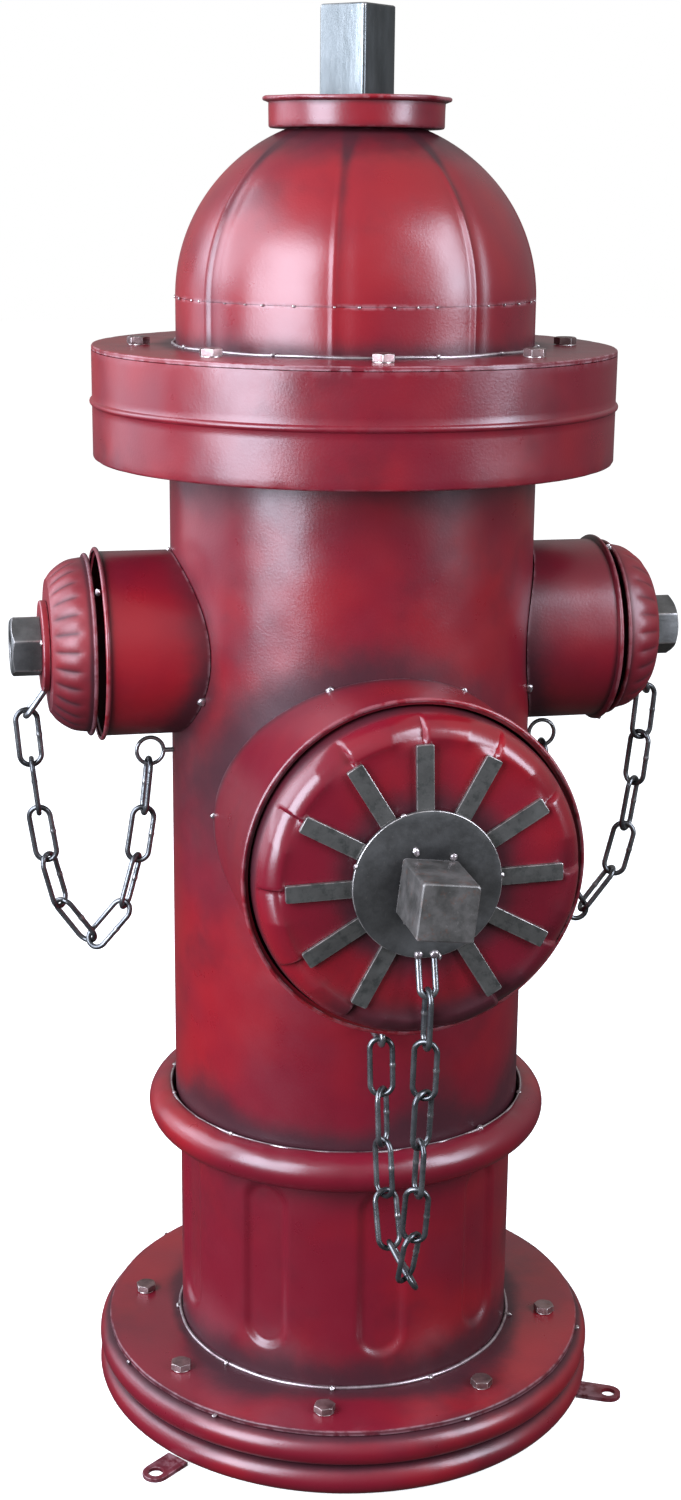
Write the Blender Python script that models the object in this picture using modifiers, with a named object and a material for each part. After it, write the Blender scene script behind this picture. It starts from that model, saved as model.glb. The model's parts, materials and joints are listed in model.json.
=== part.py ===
"""A garden fire hydrant welded up from thin sheet steel, with three hanging chains.

Units are metres, +Z is up. The origin is on the ground, on the hydrant's upright axis.
The large front outlet points along -Y, and the two side outlets along -X and +X.
"""

import math

import bmesh
import bpy
import numpy as np
from mathutils import Matrix, Vector

# ---------------------------------------------------------------- driving sizes

SIDES = 32  # faces round the large turned shells
GAP = 0.0003  # clearance between pieces that touch
WALL = 0.0015  # sheet of the large shells

# Barrel
BARREL_RADIUS = 0.1215
BARREL_HEIGHT = 0.4671

# Collar round the barrel's foot, and the pedestal under it
COLLAR_BEAD_RADIUS = 0.0135
COLLAR_CLEARANCE = 0.0055  # barrel to the middle of the collar's bead
COLLAR_SEAT = 0.0119  # how far the collar's floor reaches in under the barrel and pedestal
PEDESTAL_STEP = 0.0036  # the pedestal is this much narrower than the barrel
PEDESTAL_HEIGHT = 0.1516
FOOT_WIRE_RADIUS = 0.0025

# Base: two stacked rolled rings with a flat plate on top
BASE_BOLT_OFFSET = 0.0292  # pedestal to the bolt circle
BASE_PLATE_MARGIN = 0.0244  # bolt circle to the plate's edge
BASE_RING_STEP = 0.007  # plate's edge to the rings' edge
BASE_RING_HEIGHT = 0.0212
BASE_RING_LIP = 0.010  # flat lip from the bead towards the axis
BASE_PLATE_THICKNESS = 0.0036
BASE_BOLT_TURN = math.radians(-17.3)

# Ground tabs, welded on by hand and so a little off 120 degrees
TAB_ANGLES = [math.radians(a) for a in (-142.0, -27.0, 95.0)]
TAB_WIDTH = 0.018
TAB_THICKNESS = 0.003
TAB_HOLE_OFFSET = 0.019  # base ring's edge to the hole's centre
TAB_HOLE_RADIUS = 0.005

# Flange under the dome
FLANGE_BOLT_OFFSET = 0.0236  # dome to the bolt circle
FLANGE_MARGIN = 0.0305  # bolt circle to the flange's edge
FLANGE_BAND_HEIGHT = 0.0692
FLANGE_PLATE_THICKNESS = 0.003
FLANGE_BOLT_TURN = math.radians(-5.6)

# Bolt heads, M8
BOLT_COUNT = 8
BOLT_FLATS = 0.013
BOLT_HEAD_HEIGHT = 0.0053
BOLT_SINK = 0.001  # how far a joined head or wire reaches into its plate

# Dome
DOME_STEP = 0.0048  # the dome is this much narrower than the barrel
PRESSED_WALL = 0.0012  # sheet of the dome, the pan and the caps
DOME_SKIRT_HEIGHT = 0.0297
DOME_RISE = 0.1045  # from the skirt's top to the dome's cut top
DOME_TOP_RADIUS = 0.0447
DOME_WIRE_RADIUS = 0.0015

# Crown: a rimmed pan with a square tube standing in it
PAN_RADIUS = 0.0561
PAN_RIM_STEP = 0.0041  # how far the pan's rim stands out
PAN_HEIGHT = 0.0192
PAN_RIM_HEIGHT = 0.0034
SQUARE_NUT_WIDTH = 0.0349
SQUARE_NUT_WALL = 0.002
CROWN_NUT_HEIGHT = 0.0732
CROWN_NUT_TURN = math.radians(42.0)

# Side outlets, alike on both sides
OUTLET_SIDES = 28
ROOT_OVERLAP = 0.012  # how far an outlet's tube starts inside the barrel before it is cut
RIM_HEIGHT = 0.003  # how far a rolled rim stands out of its tube
RIM_FACE_HEIGHT = 0.0018  # the same at the rim's flat face
RIM_WIDTH = 0.0026
SIDE_OUTLET_DROP = 0.1207  # barrel's top to the outlets' axis
SIDE_OUTLET_RADIUS = 0.0608
SIDE_OUTLET_LENGTH = 0.0508  # barrel to the rim's outer face
SIDE_CAP_STEP = 0.0034  # the cap is this much narrower than its outlet
SIDE_CAP_SHOULDER = 0.0136  # cap's edge to its flat face
SIDE_CAP_GAP = 0.0044  # open slot between the outlet's rim and the cap's
SIDE_CAP_DEPTH = 0.0273
SIDE_WASHER_RADIUS = 0.030
SIDE_WASHER_THICKNESS = 0.0045
HEX_NUT_FLATS = 0.036
HEX_NUT_HEIGHT = 0.0192
HEX_NUT_BORE = 0.0106
HEX_NUT_TURN = {"left": math.radians(21.0), "right": math.radians(32.0)}

# Front outlet
FRONT_OUTLET_DROP = 0.2275  # barrel's top to the outlet's axis
FRONT_OUTLET_STEP = 0.017  # the outlet is this much narrower than the barrel
FRONT_OUTLET_LENGTH = 0.0647
FRONT_CAP_CLEARANCE = 0.0017  # ring gap between the cap and the outlet's bore
FRONT_CAP_STAND = 0.0223  # the cap's face in front of the outlet's rim
FRONT_CAP_SHOULDER = 0.0148  # cap's edge to its flat face
FRONT_CAP_SKIRT = 0.012  # how far the cap reaches back into the outlet
BAR_COUNT = 11  # the place below the hub stays free for the chain
BAR_PITCH = math.radians(30.0)
BAR_TURN = math.radians(1.5)
BAR_WIDTH = 0.0107
BAR_THICKNESS = 0.003
BAR_MARGIN = 0.0012  # the bars end this far inside the flat face
BAR_ROOT = 0.016  # how far the bars reach in under the hub
HUB_RADIUS = 0.046
HUB_THICKNESS = 0.003
FRONT_NUT_LENGTH = 0.0477
FRONT_NUT_DROP = 0.0015
FRONT_NUT_TURN = math.radians(6.5)

# Wire loops and rings that the chains hang from
LOOP_WIRE = 0.004
LOOP_RADIUS = 0.005  # bend radius of the wire's centre line
LOOP_ROOT = 0.003  # how far a loop's legs reach into their disc
HUB_LOOP_DROP = 0.0174  # hub's edge to the loop's bend centre
HUB_LOOP_LEAN = 0.0065  # the loops stand off, so that their link clears the cap
SIDE_LOOP_RISE = 0.0013  # the loop's bend centre above the lower edge of the cap's face
SIDE_LOOP_LEAN = {"left": 0.0100, "right": 0.0050}  # bend centre out from the washer
STAPLE_REACH = 0.0295  # barrel to the staple's bend centre
STAPLE_DROP = 0.0177  # front outlet's tube down to the staple's middle
STAPLE_X = -0.0115
EYE_WIRE = 0.0028
EYE_RADIUS = 0.0091
EYE_OFFSET = 0.0160  # barrel to the ring's centre
EYE_DROP = 0.0135  # side outlet's tube down to the ring's centre

# Chains: long links bent from wire
LINK_LENGTH = 0.0415
LINK_WIRE = 0.0036
LINK_WIRES_WIDE = 5  # a link's width in wires, which keeps room for the next link's wire
LINK_GAP = 0.0004  # free space between two hooked wires
LINK_BEND_STEPS = 6
# Turn of each link about its own length in degrees, counted from the barrel's end. At 0 a
# link lies in the upright plane of its chain, at 90 it stands across it. Hooked links keep
# about 60 degrees or more between them.
LINK_TURNS = {
    "left": (90, 10, -58, 50, -50, 48, -20, 85, 0),
    "right": (90, 5, -85, 5, 85, -22, 45, -50, 10),
    "front": (112, 46, -20, -87, -146, -245, -306, -368, -429, -490, -551),
}

# ---------------------------------------------------------------- derived places

POLYGON_SAG = math.cos(math.pi / SIDES)  # a polygon's flats lie this much nearer its axis

PEDESTAL_RADIUS = BARREL_RADIUS - PEDESTAL_STEP
COLLAR_RADIUS = BARREL_RADIUS + COLLAR_CLEARANCE + COLLAR_BEAD_RADIUS
COLLAR_FLOOR_RADIUS = PEDESTAL_RADIUS - COLLAR_SEAT
BASE_BOLT_CIRCLE = PEDESTAL_RADIUS + BASE_BOLT_OFFSET
BASE_PLATE_RADIUS = BASE_BOLT_CIRCLE + BASE_PLATE_MARGIN
BASE_RADIUS = BASE_PLATE_RADIUS + BASE_RING_STEP
TAB_HOLE_CIRCLE = BASE_RADIUS + TAB_HOLE_OFFSET
DOME_RADIUS = BARREL_RADIUS - DOME_STEP
FLANGE_BOLT_CIRCLE = DOME_RADIUS + FLANGE_BOLT_OFFSET
FLANGE_RADIUS = FLANGE_BOLT_CIRCLE + FLANGE_MARGIN

BASE_UPPER_Z = BASE_RING_HEIGHT + GAP
BASE_PLATE_Z = BASE_UPPER_Z + BASE_RING_HEIGHT + GAP
BASE_TOP = BASE_PLATE_Z + BASE_PLATE_THICKNESS
PEDESTAL_Z = BASE_TOP + GAP
COLLAR_Z = PEDESTAL_Z + PEDESTAL_HEIGHT + GAP
BARREL_Z = COLLAR_Z + WALL + GAP
BARREL_TOP = BARREL_Z + BARREL_HEIGHT
FLANGE_Z = BARREL_TOP + GAP
FLANGE_PLATE_Z = FLANGE_Z + FLANGE_BAND_HEIGHT + GAP
FLANGE_TOP = FLANGE_PLATE_Z + FLANGE_PLATE_THICKNESS
SKIRT_Z = FLANGE_TOP + GAP
DOME_Z = SKIRT_Z + DOME_SKIRT_HEIGHT + GAP
PAN_Z = DOME_Z + DOME_RISE + GAP
PAN_RIM_RADIUS = PAN_RADIUS + PAN_RIM_STEP
CROWN_NUT_Z = PAN_Z + PRESSED_WALL + GAP

SIDE_OUTLET_Z = BARREL_TOP - SIDE_OUTLET_DROP
SIDE_OUTLET_REACH = BARREL_RADIUS + SIDE_OUTLET_LENGTH
SIDE_CAP_RADIUS = SIDE_OUTLET_RADIUS - SIDE_CAP_STEP
SIDE_CAP_FACE_RADIUS = SIDE_CAP_RADIUS - SIDE_CAP_SHOULDER
SIDE_CAP_BACK = SIDE_OUTLET_REACH + SIDE_CAP_GAP
SIDE_CAP_FACE = SIDE_CAP_BACK + SIDE_CAP_DEPTH
SIDE_WASHER_BACK = SIDE_CAP_FACE + GAP
HEX_NUT_BACK = SIDE_WASHER_BACK + SIDE_WASHER_THICKNESS + GAP

FRONT_OUTLET_Z = BARREL_TOP - FRONT_OUTLET_DROP
FRONT_OUTLET_RADIUS = BARREL_RADIUS - FRONT_OUTLET_STEP
FRONT_OUTLET_REACH = BARREL_RADIUS + FRONT_OUTLET_LENGTH
FRONT_CAP_RADIUS = FRONT_OUTLET_RADIUS - WALL - FRONT_CAP_CLEARANCE
FRONT_CAP_FACE_RADIUS = FRONT_CAP_RADIUS - FRONT_CAP_SHOULDER
FRONT_CAP_FACE = FRONT_OUTLET_REACH + FRONT_CAP_STAND
BARS_BACK = FRONT_CAP_FACE + GAP
BAR_END_RADIUS = FRONT_CAP_FACE_RADIUS - BAR_MARGIN
BAR_ROOT_RADIUS = HUB_RADIUS - BAR_ROOT
HUB_BACK = BARS_BACK + BAR_THICKNESS + GAP
FRONT_NUT_BACK = HUB_BACK + HUB_THICKNESS + GAP

EYE_Z = SIDE_OUTLET_Z - SIDE_OUTLET_RADIUS - EYE_DROP
STAPLE_Z = FRONT_OUTLET_Z - FRONT_OUTLET_RADIUS - STAPLE_DROP
LINK_WIDTH = LINK_WIRES_WIDE * LINK_WIRE
SIDE_SIGN = {"left": -1, "right": 1}

UP_TO_FRONT = Matrix.Rotation(math.pi / 2, 4, "X")  # turns +Z to -Y
UP_TO_SIDE = {
    "left": Matrix.Rotation(-math.pi / 2, 4, "Y"),
    "right": Matrix.Rotation(math.pi / 2, 4, "Y"),
}

# ---------------------------------------------------------------- scene helpers


def new_collection(name):
    collection = bpy.data.collections.new(name)
    bpy.context.scene.collection.children.link(collection)
    return collection


def new_material(name, colour, roughness, metallic):
    material = bpy.data.materials.new(name)
    material.use_nodes = True
    shader = material.node_tree.nodes["Principled BSDF"]
    shader.inputs["Base Color"].default_value = (*colour, 1.0)
    shader.inputs["Roughness"].default_value = roughness
    shader.inputs["Metallic"].default_value = metallic
    material.diffuse_color = (*colour, 1.0)
    return material


def new_empty(name, location, parent):
    """An empty at a place given in the world. All empties here are unturned."""
    empty = bpy.data.objects.new(name, None)
    empty.empty_display_size = 0.01
    hydrant.objects.link(empty)
    empty.parent = parent
    origin = parent["world"] if parent else (0, 0, 0)
    empty.location = Vector(location) - Vector(origin)
    empty["world"] = tuple(location)
    return empty


def place(obj, matrix, parent):
    """Hangs obj under an unturned empty, so that its world matrix is matrix."""
    obj.parent = parent
    obj.matrix_basis = Matrix.Translation(-Vector(parent["world"])) @ matrix


def smooth(mesh):
    mesh.shade_smooth()
    mesh.set_sharp_from_angle(angle=math.radians(35))


def mesh_object(name, mesh, material, matrix=None, parent=None):
    obj = bpy.data.objects.new(name, mesh)
    hydrant.objects.link(obj)
    mesh.materials.append(material)
    place(obj, matrix or Matrix.Identity(4), parent or root)
    return obj


def helper_object(name, mesh, matrix=None):
    """A solid that only cuts or joins other solids."""
    obj = bpy.data.objects.new(name, mesh)
    helpers.objects.link(obj)
    obj.matrix_world = matrix or Matrix.Identity(4)
    obj.hide_render = True
    obj.display_type = "WIRE"
    return obj


def add_boolean(obj, operation, other):
    modifier = obj.modifiers.new(other.name, "BOOLEAN")
    modifier.operation = operation
    modifier.object = other
    return obj


# ---------------------------------------------------------------- shapes


def arc(centre_r, centre_z, radius, start, end, steps):
    """Points (r, z) on an arc, with the angles in degrees from +r towards +z."""
    points = []
    for i in range(steps + 1):
        angle = math.radians(start + (end - start) * i / steps)
        points.append((centre_r + radius * math.cos(angle), centre_z + radius * math.sin(angle)))
    return points


def turned_shell(name, profile, wall, material, sides=SIDES, matrix=None):
    """A profile of (r, z) points, from top to bottom down its outer side, spun round Z.
    The wall grows inwards from it."""
    mesh = bpy.data.meshes.new(name)
    points = [(r, 0.0, z) for r, z in profile]
    mesh.from_pydata(points, [(i, i + 1) for i in range(len(points) - 1)], [])
    obj = mesh_object(name, mesh, material, matrix)
    screw = obj.modifiers.new("Turn", "SCREW")
    screw.steps = screw.render_steps = sides
    screw.use_merge_vertices = True
    screw.merge_threshold = 0.00005
    screw.use_normal_calculate = False
    solidify = obj.modifiers.new("Wall", "SOLIDIFY")
    solidify.thickness = wall
    solidify.offset = -1
    solidify.use_even_offset = True
    return obj


def prism_mesh(name, radius, height, sides, bottom=0.0, turn=0.0):
    """A closed prism round Z, with its first corner at turn."""
    bpy.ops.mesh.primitive_cylinder_add(
        vertices=sides, radius=radius, depth=height, end_fill_type="NGON"
    )
    temporary = bpy.context.object
    mesh = temporary.data
    mesh.name = name
    bpy.data.objects.remove(temporary)
    # The primitive's first corner is at +Y.
    spin = Matrix.Rotation(turn - math.pi / 2, 4, "Z")
    mesh.transform(Matrix.Translation((0, 0, bottom + height / 2)) @ spin)
    return mesh


def open_box_mesh(name, width, height):
    """A square tube from z = 0 up, closed on top and open below, still without a wall."""
    bpy.ops.mesh.primitive_cube_add(size=1.0)
    temporary = bpy.context.object
    mesh = temporary.data
    mesh.name = name
    bpy.data.objects.remove(temporary)
    mesh.transform(Matrix.Diagonal((width, width, height, 1)))
    mesh.transform(Matrix.Translation((0, 0, height / 2)))
    work = bmesh.new()
    work.from_mesh(mesh)
    floor = [face for face in work.faces if face.normal.z < -0.5]
    bmesh.ops.delete(work, geom=floor, context="FACES_ONLY")
    work.to_mesh(mesh)
    work.free()
    return mesh


def joined_mesh(name, meshes):
    """One mesh with several closed solids in it."""
    points, faces = [], []
    for mesh in meshes:
        start = len(points)
        points += [tuple(v.co) for v in mesh.vertices]
        faces += [tuple(start + i for i in p.vertices) for p in mesh.polygons]
        bpy.data.meshes.remove(mesh)
    mesh = bpy.data.meshes.new(name)
    mesh.from_pydata(points, [], faces)
    return mesh


def wire_curve(name, points, wire, closed):
    """A round wire along straight pieces between points."""
    curve = bpy.data.curves.new(name, "CURVE")
    curve.dimensions = "3D"
    curve.bevel_depth = wire / 2
    curve.bevel_resolution = 1
    curve.use_fill_caps = not closed
    spline = curve.splines.new("POLY")
    spline.points.add(len(points) - 1)
    for point, co in zip(spline.points, points):
        point.co = (*co, 1.0)
    spline.use_cyclic_u = closed
    return curve


def wire_mesh(name, points, wire, closed):
    """The same wire as a closed mesh, for joining to other solids."""
    obj = bpy.data.objects.new(name, wire_curve(name, points, wire, closed))
    bpy.context.scene.collection.objects.link(obj)
    bpy.context.view_layer.update()
    graph = bpy.context.evaluated_depsgraph_get()
    mesh = bpy.data.meshes.new_from_object(obj.evaluated_get(graph))
    bpy.data.objects.remove(obj)
    work = bmesh.new()
    work.from_mesh(mesh)
    bmesh.ops.remove_doubles(work, verts=work.verts, dist=0.00001)
    bmesh.ops.recalc_face_normals(work, faces=work.faces)
    work.to_mesh(mesh)
    work.free()
    return mesh


def ring_points(radius, z, count):
    return [
        (radius * math.cos(a), radius * math.sin(a), z)
        for a in (2 * math.pi * i / count for i in range(count))
    ]


def half_turn(centre, side, tip, radius, steps):
    """Points on the half circle from centre + side * radius, over tip, to the far side."""
    found = []
    for i in range(steps + 1):
        angle = math.pi * i / steps
        found.append(centre + radius * (math.cos(angle) * side + math.sin(angle) * tip))
    return found


# ---------------------------------------------------------------- base and body


def bead_profile(bottom, height, inner_radius):
    """The rolled outer edge of a base ring, from its top lip to its bottom."""
    half = height / 2
    centre = BASE_RADIUS - half
    return [(inner_radius, bottom + height), *arc(centre, bottom + half, half, 90, -90, 4)]


def bolt_heads(name, circle, turn, plate_top):
    heads = []
    for i in range(BOLT_COUNT):
        angle = turn - math.pi / 2 + 2 * math.pi * i / BOLT_COUNT
        head = prism_mesh(
            name,
            BOLT_FLATS / math.sqrt(3),
            BOLT_HEAD_HEIGHT + BOLT_SINK,
            6,
            plate_top - BOLT_SINK,
            angle,
        )
        head.transform(
            Matrix.Translation((circle * math.cos(angle), circle * math.sin(angle), 0))
        )
        heads.append(head)
    return heads


def make_base():
    lip = BASE_RADIUS - BASE_RING_HEIGHT / 2 - BASE_RING_LIP
    lower = bead_profile(0.0, BASE_RING_HEIGHT, lip)
    turned_shell("base_lower_ring", [*lower, (0.0, 0.0)], WALL, paint)
    upper = bead_profile(BASE_UPPER_Z, BASE_RING_HEIGHT, lip)
    turned_shell("base_upper_ring", [*upper, (lip, BASE_UPPER_Z)], WALL, paint)

    disc = prism_mesh("base_plate", BASE_PLATE_RADIUS, BASE_PLATE_THICKNESS, SIDES, BASE_PLATE_Z)
    plate = mesh_object("base_plate", disc, paint)
    foot_radius = PEDESTAL_RADIUS + GAP + FOOT_WIRE_RADIUS
    foot_z = BASE_TOP + FOOT_WIRE_RADIUS - BOLT_SINK
    foot_ring = ring_points(foot_radius / POLYGON_SAG, foot_z, SIDES)
    foot = wire_mesh("foot_wire", foot_ring, 2 * FOOT_WIRE_RADIUS, True)
    heads = bolt_heads("base_bolts", BASE_BOLT_CIRCLE, BASE_BOLT_TURN, BASE_TOP)
    trim = helper_object("base_trim", joined_mesh("base_trim", [foot, *heads]))
    add_boolean(plate, "UNION", trim)


def make_tab(number, angle):
    """A flat strap with a round end and one hole, welded to the base's edge."""
    curve = bpy.data.curves.new(f"anchor_tab_{number}", "CURVE")
    curve.dimensions = "2D"
    curve.fill_mode = "BOTH"
    curve.extrude = TAB_THICKNESS / 2
    half = TAB_WIDTH / 2
    bead = BASE_RING_HEIGHT / 2
    reach = math.sqrt(bead**2 - (bead - TAB_THICKNESS) ** 2)
    root_x = BASE_RADIUS - bead + reach + GAP - TAB_HOLE_CIRCLE
    outline = [(root_x, -half)]
    outline += [(half * math.cos(a), half * math.sin(a)) for a in np.radians(np.linspace(-90, 90, 9))]
    outline += [(root_x, half)]
    hole = [
        (TAB_HOLE_RADIUS * math.cos(a), TAB_HOLE_RADIUS * math.sin(a))
        for a in np.radians(np.arange(16) * 22.5)
    ]
    for points in (outline, hole):
        spline = curve.splines.new("POLY")
        spline.points.add(len(points) - 1)
        for point, (x, y) in zip(spline.points, points):
            point.co = (x, y, 0.0, 1.0)
        spline.use_cyclic_u = True
    curve.materials.append(paint)
    tab = bpy.data.objects.new(f"anchor_tab_{number}", curve)
    hydrant.objects.link(tab)
    out = Matrix.Translation((TAB_HOLE_CIRCLE, 0, TAB_THICKNESS / 2))
    place(tab, Matrix.Rotation(angle, 4, "Z") @ out, root)


def make_body():
    top = PEDESTAL_Z + PEDESTAL_HEIGHT
    pedestal = [(PEDESTAL_RADIUS, top), (PEDESTAL_RADIUS, PEDESTAL_Z)]
    turned_shell("pedestal", pedestal, WALL, paint)
    centre_r = COLLAR_RADIUS - COLLAR_BEAD_RADIUS
    bead = arc(centre_r, COLLAR_Z + COLLAR_BEAD_RADIUS, COLLAR_BEAD_RADIUS, 95, -90, 5)
    turned_shell("collar", [*bead, (COLLAR_FLOOR_RADIUS, COLLAR_Z)], WALL, paint)
    barrel = [(BARREL_RADIUS, BARREL_TOP), (BARREL_RADIUS, BARREL_Z)]
    turned_shell("barrel", barrel, WALL, paint)


def make_flange():
    top = FLANGE_Z + FLANGE_BAND_HEIGHT
    band = [(FLANGE_RADIUS, top), (FLANGE_RADIUS, FLANGE_Z), (0.0, FLANGE_Z)]
    turned_shell("flange_drum", band, WALL, paint)
    disc = prism_mesh("flange_top_plate", FLANGE_RADIUS, FLANGE_PLATE_THICKNESS, SIDES, FLANGE_PLATE_Z)
    plate = mesh_object("flange_top_plate", disc, paint)
    foot_radius = DOME_RADIUS + GAP + DOME_WIRE_RADIUS
    foot_z = FLANGE_TOP + DOME_WIRE_RADIUS - BOLT_SINK
    foot_ring = ring_points(foot_radius / POLYGON_SAG, foot_z, SIDES)
    foot = wire_mesh("dome_wire", foot_ring, 2 * DOME_WIRE_RADIUS, True)
    heads = bolt_heads("flange_bolts", FLANGE_BOLT_CIRCLE, FLANGE_BOLT_TURN, FLANGE_TOP)
    trim = helper_object("flange_trim", joined_mesh("flange_trim", [foot, *heads]))
    add_boolean(plate, "UNION", trim)


def make_dome():
    top = SKIRT_Z + DOME_SKIRT_HEIGHT
    turned_shell("dome_skirt", [(DOME_RADIUS, top), (DOME_RADIUS, SKIRT_Z)], PRESSED_WALL, paint)
    # An ellipse that stands upright on the skirt and is cut off where the pan sits.
    end = math.acos(DOME_TOP_RADIUS / DOME_RADIUS)
    height = DOME_RISE / math.sin(end)
    profile = []
    for i in range(7):
        angle = end * (1 - i / 6)
        profile.append((DOME_RADIUS * math.cos(angle), DOME_Z + height * math.sin(angle)))
    turned_shell("dome", profile, PRESSED_WALL, paint)

    rim = PAN_Z + PAN_HEIGHT
    half = PAN_RIM_HEIGHT / 2
    pan = [
        (PAN_RIM_RADIUS - 0.001, rim),
        (PAN_RIM_RADIUS, rim - half),
        (PAN_RADIUS, rim - 2 * half),
        (PAN_RADIUS, PAN_Z + PRESSED_WALL),
        (PAN_RADIUS - PRESSED_WALL, PAN_Z),
        (0.0, PAN_Z),
    ]
    turned_shell("crown_pan", pan, PRESSED_WALL, paint)


def make_square_nut(name, length, matrix):
    mesh = open_box_mesh(name, SQUARE_NUT_WIDTH, length)
    nut = mesh_object(name, mesh, steel, matrix)
    solidify = nut.modifiers.new("Wall", "SOLIDIFY")
    solidify.thickness = SQUARE_NUT_WALL
    solidify.offset = -1
    solidify.use_even_offset = True
    return nut


# ---------------------------------------------------------------- outlets


def rim_profile(radius, face):
    """The rolled rim at the mouth of a tube, from its face back to the tube."""
    back = face - RIM_WIDTH
    return [
        (radius + RIM_FACE_HEIGHT, face),
        (radius + RIM_HEIGHT, face - RIM_WIDTH * 0.35),
        (radius + RIM_HEIGHT, back + RIM_WIDTH * 0.35),
        (radius, back),
    ]


def make_outlet(name, radius, reach, sides, matrix, cutter):
    """A tube with a rolled rim, cut where it meets the barrel."""
    root_end = math.sqrt(BARREL_RADIUS**2 - radius**2) - ROOT_OVERLAP
    profile = [*rim_profile(radius, reach), (radius, root_end)]
    outlet = turned_shell(name, profile, WALL, paint, sides, matrix)
    return add_boolean(outlet, "DIFFERENCE", cutter)


def make_loop(name, centre, side, leg):
    """A wire bent to a U: its bend's centre, its width's direction, and how its legs run."""
    bend = half_turn(centre, side, -leg.normalized(), LOOP_RADIUS, 8)
    return wire_mesh(name, [bend[0] + leg, *bend, bend[-1] + leg], LOOP_WIRE, False)


def make_side_outlet(side, cutter):
    matrix = Matrix.Translation((0, 0, SIDE_OUTLET_Z)) @ UP_TO_SIDE[side]
    make_outlet(
        f"{side}_outlet", SIDE_OUTLET_RADIUS, SIDE_OUTLET_REACH, OUTLET_SIDES, matrix, cutter
    )
    # The cap: a flat face, a rounded side and a rolled rim like the outlet's.
    start = math.degrees(math.acos(SIDE_CAP_FACE_RADIUS / SIDE_CAP_RADIUS))
    rise = SIDE_CAP_FACE - SIDE_CAP_BACK - RIM_WIDTH
    cap = [(0.0, SIDE_CAP_FACE)]
    for i in range(4):
        angle = math.radians(start * (1 - i / 4))
        height = rise * math.sin(angle) / math.sin(math.radians(start))
        cap.append((SIDE_CAP_RADIUS * math.cos(angle), SIDE_CAP_BACK + RIM_WIDTH + height))
    cap += rim_profile(SIDE_CAP_RADIUS, SIDE_CAP_BACK + RIM_WIDTH)[1:]
    turned_shell(f"{side}_cap", cap, PRESSED_WALL, paint, OUTLET_SIDES, matrix)

    disc = prism_mesh(
        f"{side}_cap_washer", SIDE_WASHER_RADIUS, SIDE_WASHER_THICKNESS, 24, SIDE_WASHER_BACK
    )
    disc.transform(matrix)
    washer = mesh_object(f"{side}_cap_washer", disc, paint)
    loop = make_loop(f"{side}_loop", *side_loop(side))
    add_boolean(washer, "UNION", helper_object(f"{side}_loop", loop))

    nut = prism_mesh(
        f"{side}_cap_nut", HEX_NUT_FLATS / math.sqrt(3), HEX_NUT_HEIGHT, 6, HEX_NUT_BACK
    )
    bore = prism_mesh(f"{side}_nut_bore", HEX_NUT_BORE, 2 * HEX_NUT_HEIGHT, 16, HEX_NUT_BACK - 0.005)
    # A corner of the nut points forwards and up by the nut's turn.
    lift = Matrix.Translation((0, 0, SIDE_OUTLET_Z))
    forward = lift @ Matrix.Rotation(-HEX_NUT_TURN[side], 4, "X") @ matrix_forward(side)
    nut_object = mesh_object(f"{side}_cap_nut", nut, steel, forward)
    add_boolean(nut_object, "DIFFERENCE", helper_object(f"{side}_nut_bore", bore, forward))


def matrix_forward(side):
    """Turns +Z to the side's outward direction and +X to -Y."""
    sign = SIDE_SIGN[side]
    out, front = Vector((sign, 0, 0)), Vector((0, -1, 0))
    third = out.cross(front)
    return Matrix((front, third, out)).transposed().to_4x4()


def side_loop(side):
    """The loop under a side washer: its bend's centre, its width's direction and its leg."""
    out = Vector((SIDE_SIGN[side], 0, 0))
    top = out * (SIDE_WASHER_BACK + SIDE_WASHER_THICKNESS / 2)
    centre = top + out * SIDE_LOOP_LEAN[side]
    top.z = SIDE_OUTLET_Z - SIDE_WASHER_RADIUS + LOOP_ROOT
    centre.z = SIDE_OUTLET_Z - SIDE_CAP_FACE_RADIUS + SIDE_LOOP_RISE
    return centre, Vector((0, 1, 0)), top - centre


def hub_loop():
    """The same for the loop under the front hub."""
    middle = HUB_BACK + HUB_THICKNESS / 2
    edge_z = FRONT_OUTLET_Z - HUB_RADIUS
    top = Vector((0, -middle, edge_z + LOOP_ROOT))
    centre = Vector((0, -middle - HUB_LOOP_LEAN, edge_z - HUB_LOOP_DROP))
    return centre, Vector((1, 0, 0)), top - centre


def loop_eye(centre, side, leg):
    return Eye(centre, side.cross(leg).normalized(), LOOP_RADIUS, LOOP_WIRE)


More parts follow.
